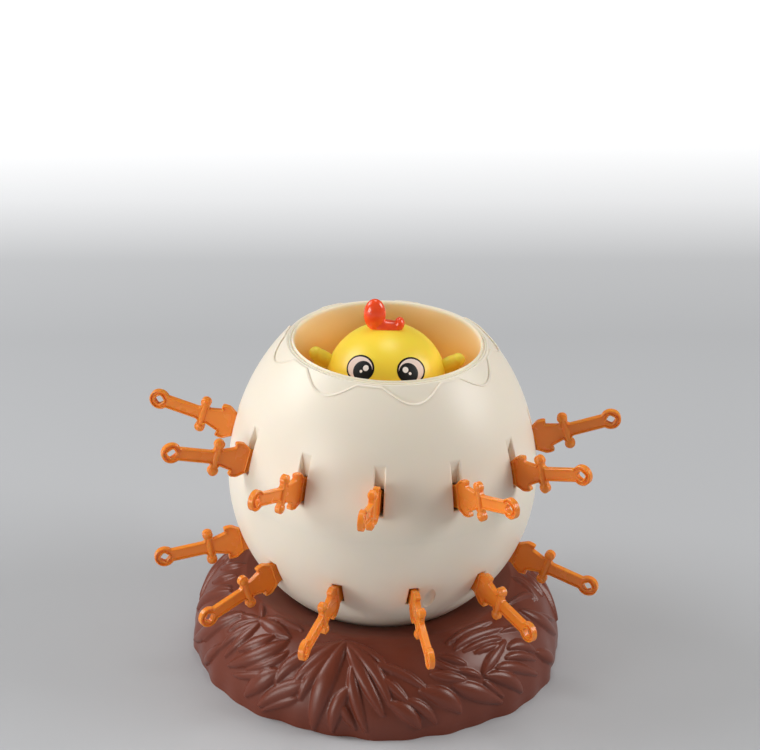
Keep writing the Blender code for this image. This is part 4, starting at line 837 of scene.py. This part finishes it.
for side, word in SIDES:
    middle = ball_point(EYE_ELEVATION, side * EYE_AZIMUTH)
    for part, ((across, high), half_size, rise) in PRINTS.items():
        disc = print_disc(middle, (-side * across, high), half_size, rise)
        finished(f"chick_eye_{part}_{word}", disc, eye_inks[part], "chick")

# Comb, beak, wings and feet. Separate mouldings in soft PVC, glued on the ball: glossy red comb, orange
# diamond beak, amber paddle wings with three lobes, and orange feet with three toes.
COMB_RED = (1.0, 0.085, 0.016)
WING_AMBER = (1.0, 0.79, 0.080)
BEAK_ORANGE = (0.82, 0.17, 0.012)
FOOT_ORANGE = (0.87, 0.225, 0.018)
BLEND_VOXEL = 0.0003
ALL_SMOOTH = 180
# Lobes are ellipsoids: their middle, half size and turn in degrees
COMB_LOBES = (
    (-0.0054, 0.0051, (0.0044, 0.0033, 0.0066), 0),
    (-0.0004, 0.0000, (0.0062, 0.0031, 0.0029), 0),
    (0.0045, 0.0016, (0.0020, 0.0025, 0.0028), 0),
)
WING_Y = 0.0005
WING_LOBES = (
    (0.0282, 0.0110, (0.0028, 0.0026, 0.0028), 0),
    (0.0252, 0.0092, (0.0062, 0.0027, 0.0031), -30),
    (0.0254, 0.0046, (0.0053, 0.0025, 0.0029), -12),
    (0.0246, 0.0004, (0.0039, 0.0023, 0.0025), 8),
)
BEAK_ELEVATION = math.radians(12)
BEAK_HALF_SIZE = (0.0064, 0.0052, 0.0058)
BEAK_POWER = 1.35
BEAK_MOUTH = 0.10
FOOT_ELEVATION = math.radians(-35)
FOOT_AZIMUTH = math.radians(47)
FOOT_THICKNESS = 0.0014
FOOT_SINK = 0.0004
FOOT_EDGE = 0.0005
TOE_FAN = 42
TOE_REACH = 0.0038
TOE_RADIUS = 0.0009
TOE_GAP = 0.0021
HEEL = ((0.0014, 0.0002), (0.0010, 0.0012), (0.0, 0.0017), (-0.0010, 0.0012), (-0.0014, 0.0002))


def soft_blend(name, lobes, mirror, smooth):
    """Ellipsoids run together into one smooth moulding."""
    shape = bmesh.new()
    for (x, y, z), half_size, turn in lobes:
        place = Matrix.Translation((mirror * x, y, z)) @ Matrix.Rotation(mirror * math.radians(turn), 4, "Y")
        place = place @ Matrix.Diagonal((*half_size, 1.0))
        bmesh.ops.create_uvsphere(shape, u_segments=32, v_segments=20, radius=1.0, matrix=place)
    mesh = bpy.data.meshes.new(name)
    shape.to_mesh(mesh)
    shape.free()
    holder = placed("holder", mesh)
    remesh = holder.modifiers.new("remesh", "REMESH")
    remesh.mode = "VOXEL"
    remesh.voxel_size = BLEND_VOXEL
    even = holder.modifiers.new("even", "SMOOTH")
    even.iterations = smooth
    even.factor = 0.5
    bpy.context.view_layer.update()
    result = bpy.data.meshes.new_from_object(holder.evaluated_get(bpy.context.evaluated_depsgraph_get()))
    bpy.data.objects.remove(holder)
    return result


comb_red = moulded_plastic("comb_red_vinyl", COMB_RED, 0.20, 0.05, 700.0, 0.00001, glow=0.2, coat=0.4)
wing_amber = moulded_plastic("wing_amber_vinyl", WING_AMBER, 0.32, 0.05, 700.0, 0.00001, glow=0.3)
beak_orange = moulded_plastic("beak_orange_vinyl", BEAK_ORANGE, 0.28, 0.05, 700.0, 0.00001, glow=0.2)
foot_orange = moulded_plastic("foot_orange_vinyl", FOOT_ORANGE, 0.34, 0.05, 700.0, 0.00001, glow=0.2)
top = BALL_Z + BALL_RADIUS
comb_lobes = [((x, 0.0, top + z), half, turn) for x, z, half, turn in COMB_LOBES]
comb = soft_blend("glossy_comb", comb_lobes, 1, 10)
dressed("glossy_comb", comb, comb_red, "chick", ("chick_comb",), ALL_SMOOTH)
for side, word in SIDES:
    lobes = [((x, WING_Y, BALL_Z + z), half, turn) for x, z, half, turn in WING_LOBES]
    wing = soft_blend("wing_" + word, lobes, side, 8)
    dressed("wing_" + word, wing, wing_amber, "chick", ("chick_wing_" + word,), ALL_SMOOTH)

beak = bmesh.new()
beak_place = Matrix.Translation(ball_point(BEAK_ELEVATION, 0.0)) @ Matrix.Rotation(-BEAK_ELEVATION, 4, "X")
bmesh.ops.create_uvsphere(beak, u_segments=64, v_segments=48, radius=1.0)
for vert in beak.verts:
    x, y, z = vert.co
    pinch = (abs(x) ** BEAK_POWER + abs(z) ** BEAK_POWER) ** (1 / BEAK_POWER)
    squeeze = math.hypot(x, z) / pinch if pinch > 1e-6 else 1.0
    mouth = BEAK_MOUTH * math.exp(-((z + 0.02 + 0.25 * x * x) / 0.05) ** 2) * max(0.0, 1 - abs(x) ** 3)
    wide, deep, tall = BEAK_HALF_SIZE
    vert.co = (x * squeeze * wide, y * deep * (1 - mouth), z * squeeze * tall)
bmesh.ops.transform(beak, matrix=beak_place, verts=beak.verts)
finished("diamond_beak", beak, beak_orange, "chick", ("chick_beak",), ALL_SMOOTH)


def foot_shape(azimuth):
    """Three round toes fanned from a heel: a flat pad with soft edges, laid on the ball."""
    foot = bmesh.new()
    rim = []
    for fan in (-TOE_FAN, 0, TOE_FAN):
        heading = math.radians(fan - 90)
        tip = Vector((math.cos(heading), math.sin(heading)))
        beside = Vector((-tip.y, tip.x))
        for turn in (-80, -45, -15, 15, 45, 80):
            roll = math.radians(turn)
            reach = TOE_REACH + TOE_RADIUS * math.cos(roll)
            rim.append(tip * reach + beside * TOE_RADIUS * math.sin(roll))
        if fan < TOE_FAN:
            between = heading + math.radians(TOE_FAN / 2)
            rim.append(Vector((math.cos(between), math.sin(between))) * TOE_GAP)
    rim += [Vector(p) for p in HEEL]
    verts = [foot.verts.new((p.x, p.y, 0.0)) for p in rim]
    edges = [foot.edges.new(pair) for pair in zip(verts, verts[1:] + verts[:1])]
    bmesh.ops.triangle_fill(foot, edges=edges, use_beauty=True)
    grown = bmesh.ops.extrude_face_region(foot, geom=foot.faces[:])
    lifted = [g for g in grown["geom"] if isinstance(g, bmesh.types.BMVert)]
    bmesh.ops.translate(foot, vec=(0, 0, FOOT_THICKNESS), verts=lifted)
    bmesh.ops.recalc_face_normals(foot, faces=foot.faces)
    top_edges = [e for e in foot.edges if all(v in lifted for v in e.verts)]
    rim_edges = [e for e in top_edges if e.calc_face_angle(0) > 1]
    bmesh.ops.bevel(
        foot, geom=rim_edges, offset=FOOT_EDGE, segments=3, profile=0.5, material=-1, affect="EDGES"
    )
    long_edges = [e for e in foot.edges if e.calc_length() > 0.0012]
    bmesh.ops.subdivide_edges(foot, edges=long_edges, cuts=1, use_grid_fill=True)
    outward = (ball_point(FOOT_ELEVATION, azimuth) - Vector((0, 0, BALL_Z))).normalized()
    turn = outward.to_track_quat("Z", "Y").to_matrix()
    for vert in foot.verts:
        direction = (outward * BALL_RADIUS + turn @ Vector((vert.co.x, vert.co.y, 0))).normalized()
        vert.co = Vector((0, 0, BALL_Z)) + direction * (BALL_RADIUS - FOOT_SINK + vert.co.z)
    return foot


for side, word in SIDES:
    foot = foot_shape(side * FOOT_AZIMUTH)
    finished("foot_" + word, foot, foot_orange, "chick", ("chick_foot_" + word,), 50)

# Toy swords. Sixteen equal mouldings in translucent orange polypropylene, stuck into the slots: a flat
# blade with a springy tongue, a stepped shoulder, a guard with ball ends, a grip and a ring, and a bead
# raised all round both faces of the handle.
SWORD_HALF = 0.0012
ROOT_X = 0.0030
# How far each step goes in from the edge, and its rise
SWORD_BEAD_STEPS = (
    (0.00018, 0.00018),
    (0.00018, 0.00008),
    (0.00014, 0.00000),
    (0.00016, -0.00018),
    (0.00012, -0.00055),
)
SWORD_BEAD_RISE = 0.00026
SWORD_ORANGE = (0.90, 0.285, 0.032)
GUARD_X = 0.0164
GUARD_REACH = 0.0057
GUARD_BALL = 0.0021
GUARD_BAR = 0.0014
GRIP_HALF = 0.0026
RING_X = 0.0349
RING_RADIUS = 0.0041
RING_HOLE = 0.0019
HOLE_PINCH = 0.35
SWORD_SIDE = (
    (-0.0199, 0.0011),
    (-0.0196, 0.0015),
    (-0.0174, 0.0036),
    (0.0024, 0.0046),
    (0.0048, 0.0062),
    (0.0059, 0.0070),
    (0.0068, 0.0073),
    (0.0084, 0.0073),
    (0.0094, 0.0071),
    (0.0097, 0.0067),
    (0.0096, 0.0058),
    (0.0093, 0.0053),
    (0.0095, 0.0048),
    (0.0118, 0.0041),
    (0.0143, 0.0034),
)
UPPER_DEPTH = 0.0033
LOWER_DEPTH = 0.0023
# Each sword's slot, counted round from the front towards +X, its lean and its sideways turn in degrees
UPPER_SWORDS = (
    (1, 16, -9),
    (2, 16, 9),
    (3, 17, -4),
    (4, 20, -2),
    (7, 14, 4),
    (10, 14, -9),
    (11, 14, -8),
    (12, 16, 0),
)
LOWER_SWORDS = (
    (1, -15, -1),
    (2, -12, -6),
    (3, -14, -4),
    (6, -13, 6),
    (7, -18, -6),
    (10, -10, -2),
    (11, -19, -8),
    (12, -14, -5),
)


def arc(x, y, radius, first, last, count):
    """Points along an arc about a centre, between two angles in degrees."""
    angles = [math.radians(first + (last - first) * i / (count - 1)) for i in range(count)]
    return [(x + radius * math.cos(a), y + radius * math.sin(a)) for a in angles]


def everything(shape):
    """All that a bmesh is made of."""
    return shape.verts[:] + shape.edges[:] + shape.faces[:]


def sword_mesh():
    """A sword that points along -X, its outline in the XZ plane, filled, thickened and given its bead."""
    side = list(SWORD_SIDE) + arc(GUARD_X, GUARD_REACH, GUARD_BALL, 225, -45, 15)
    side += [(0.0180, 0.0032), (0.0184, 0.0028)]
    side += [(x, GRIP_HALF) for x in (0.0190, 0.0250, 0.0312)]
    join = math.degrees(math.asin(GRIP_HALF / RING_RADIUS))
    ring = arc(RING_X, 0.0, RING_RADIUS, 180 - join, -180 + join, 29)
    outline = side + ring + [(x, -y) for x, y in side[::-1]]
    hole = []
    for angle in around(24):
        x, y = [HOLE_PINCH * s**3 + (1 - HOLE_PINCH) * s for s in (math.cos(angle), math.sin(angle))]
        hole.append((RING_X + RING_HOLE * x, RING_HOLE * y))
    slit = [(-0.0040, 0.0023), (-0.0106, 0.0023), (-0.0106, -0.0023), (-0.0040, -0.0023)]
    slit += [(-0.0040, -0.0016), (-0.0099, -0.0016), (-0.0099, 0.0016), (-0.0040, 0.0016)]
    shape = bmesh.new()
    edges = []
    for loop in (outline, hole, slit):
        verts = [shape.verts.new((x, 0.0, y)) for x, y in loop]
        edges += [shape.edges.new(pair) for pair in zip(verts, verts[1:] + verts[:1])]
    bmesh.ops.triangle_fill(shape, edges=edges, use_beauty=True, normal=(0, -1, 0))
    grown = bmesh.ops.extrude_face_region(shape, geom=shape.faces[:])
    front = [g for g in grown["geom"] if isinstance(g, bmesh.types.BMVert)]
    bmesh.ops.translate(shape, vec=(0, SWORD_BEAD_RISE - SWORD_HALF, 0), verts=front)
    middle = [f for f in shape.faces if all(abs(v.co.y) < 1e-6 for v in f.verts)]
    bmesh.ops.delete(shape, geom=middle, context="FACES")
    bmesh.ops.bisect_plane(shape, geom=everything(shape), plane_co=(ROOT_X, 0, 0), plane_no=(1, 0, 0))
    bmesh.ops.recalc_face_normals(shape, faces=shape.faces)
    handle = [f for f in shape.faces if all(v.co.x > ROOT_X - 1e-6 for v in f.verts)]
    handle = [f for f in handle if all(v.co.y < -SWORD_HALF / 2 for v in f.verts)]
    for width, rise in SWORD_BEAD_STEPS:
        bmesh.ops.inset_region(shape, faces=handle, thickness=width, depth=rise, use_even_offset=True)
    bmesh.ops.mirror(shape, geom=everything(shape), axis="Y", merge_dist=0.000005)
    bmesh.ops.recalc_face_normals(shape, faces=shape.faces)
    mesh = merged([shape])
    for z in (GUARD_REACH, -GUARD_REACH):
        ball = bmesh.new()
        place = Matrix.Translation((GUARD_X, 0, z)) @ Matrix.Diagonal((1, 0.9, 1, 1))
        bmesh.ops.create_uvsphere(ball, u_segments=24, v_segments=14, radius=GUARD_BALL, matrix=place)
        mesh = carve(mesh, [(merged([ball]), "UNION")])
    bar = bmesh.new()
    bmesh.ops.create_cone(
        bar,
        cap_ends=True,
        segments=24,
        radius1=GUARD_BAR,
        radius2=GUARD_BAR,
        depth=2 * GUARD_REACH,
        matrix=Matrix.Translation((GUARD_X, 0, 0)),
    )
    return carve(mesh, [(merged([bar]), "UNION")])


sword_orange = moulded_plastic("sword_orange_plastic", SWORD_ORANGE, 0.25, 0.06, 800.0, 0.00002, glow=0.45)
sword_shader = sword_orange.node_tree.nodes["Principled BSDF"]
fill(sword_shader, Subsurface_Radius=(1.0, 0.25, 0.06), Subsurface_Scale=0.0016)
pattern = sword_mesh()
rows = (
    ("upper", 0.0, UPPER_ROW_Z, UPPER_DEPTH, UPPER_SWORDS),
    ("lower", math.pi / SLOTS, LOWER_ROW_Z, LOWER_DEPTH, LOWER_SWORDS),
)
for row_name, offset, height, depth, swords in rows:
    radius = egg_radius(height) - depth
    for slot, lean, turn in swords:
        azimuth = around(SLOTS, offset)[slot - 1]
        place = Matrix.Translation(at(radius, azimuth, height))
        place = place @ Matrix.Rotation(azimuth + math.radians(turn) - math.radians(90), 4, "Z")
        place = place @ Matrix.Rotation(-math.radians(lean), 4, "Y")
        copy = pattern.copy()
        copy.transform(place)
        label = f"sword_{row_name}_{slot:02d}"
        dressed("toy_" + label, copy, sword_orange, label, (label,), 40)

# Studio. A pale seamless floor that runs from grey at the toy to white far behind it, level in the picture.
# A big soft lamp at the upper left, a low one at the front left, two small ones above and at the right, and
# the camera of the photograph.
FLOOR_GREY = 0.535
FLOOR_TURN = math.radians(-6.8)
# How white the floor is at distances behind the toy in metres
FLOOR_STOPS = (
    (-0.40, 0.0),
    (0.30, 0.0),
    (0.40, 0.09),
    (0.49, 0.40),
    (0.58, 0.62),
    (0.75, 1.0),
    (0.90, 1.0),
)
CAMERA_PLACE = (0.0161, -0.9329, 0.5682)
CAMERA_LENS = 123.508
CAMERA_PAN = math.radians(1.14)
CAMERA_TILT = math.radians(64.435)
CAMERA_ROLL = math.radians(2.132)
floor_mesh = bmesh.new()
bmesh.ops.create_grid(floor_mesh, x_segments=1, y_segments=1, size=6.0)
floor_data = bpy.data.meshes.new("floor")
floor_mesh.to_mesh(floor_data)
floor_mesh.free()
floor = placed("floor", floor_data)
floor_paint = bpy.data.materials.new("floor_paint")
floor_paint.use_nodes = True
tree = floor_paint.node_tree
shader = tree.nodes["Principled BSDF"]
fill(shader, Roughness=0.9, Specular_IOR_Level=0.1)
floor_data.materials.append(floor_paint)
floor_lay = node(tree, "ShaderNodeMapping", Rotation=(0.0, 0.0, FLOOR_TURN))
wire(tree, node(tree, "ShaderNodeTexCoord"), "Object", floor_lay, "Vector")
floor_stops = [(y, (white, white, white)) for y, white in FLOOR_STOPS]
ramp = ramp_along(tree, floor_lay.outputs["Vector"], "Y", floor_stops)
fill(shader, Base_Color=(FLOOR_GREY * 0.96, FLOOR_GREY, FLOOR_GREY * 1.07, 1.0))
rays = node(tree, "ShaderNodeLightPath")
glow = node(tree, "ShaderNodeMath")
glow.operation = "MULTIPLY"
wire(tree, rays, "Is Camera Ray", glow, 0)
wire(tree, ramp, "Color", glow, 1)
fill(shader, Emission_Color=(1.0, 1.0, 1.0, 1.0))
wire(tree, glow, "Value", shader, "Emission Strength")

world = bpy.data.worlds.new("studio")
bpy.context.scene.world = world
world.use_nodes = True
sky = world.node_tree.nodes["Background"]
fill(sky, Color=(1.0, 0.93, 0.82, 1.0), Strength=0.20)


def lamp(name, place, target, size, power, colour):
    """A round soft lamp that faces its target."""
    data = bpy.data.lights.new(name, "AREA")
    data.shape = "DISK"
    data.size = size
    data.energy = power
    data.color = colour
    light = placed(name, data)
    light.location = place
    light.rotation_euler = (Vector(target) - Vector(place)).to_track_quat("-Z", "Y").to_euler()


lamp("key_lamp", (-1.05, 0.10, 0.80), (0, 0, 0.08), 0.80, 9.5, (1.0, 0.99, 0.97))
lamp("low_lamp", (-0.95, -0.80, 0.16), (0, 0, 0.03), 0.60, 6.6, (1.0, 0.98, 0.94))
lamp("top_lamp", (0.05, 0.20, 1.30), (0, 0, 0.12), 0.50, 3.0, (1.0, 0.99, 0.97))
lamp("side_lamp", (0.95, -0.02, 0.62), (0, 0, 0.08), 0.60, 6.5, (1.0, 0.98, 0.95))

camera_data = bpy.data.cameras.new("camera")
camera_data.sensor_width = 36.0
camera_data.lens = CAMERA_LENS
camera = placed("camera", camera_data)
heading = Matrix.Rotation(CAMERA_PAN, 4, "Z") @ Matrix.Rotation(CAMERA_TILT, 4, "X")
heading = heading @ Matrix.Rotation(CAMERA_ROLL, 4, "Z")
camera.matrix_world = Matrix.Translation(CAMERA_PLACE) @ heading
bpy.context.scene.camera = camera
bpy.context.scene.view_settings.view_transform = "Standard"
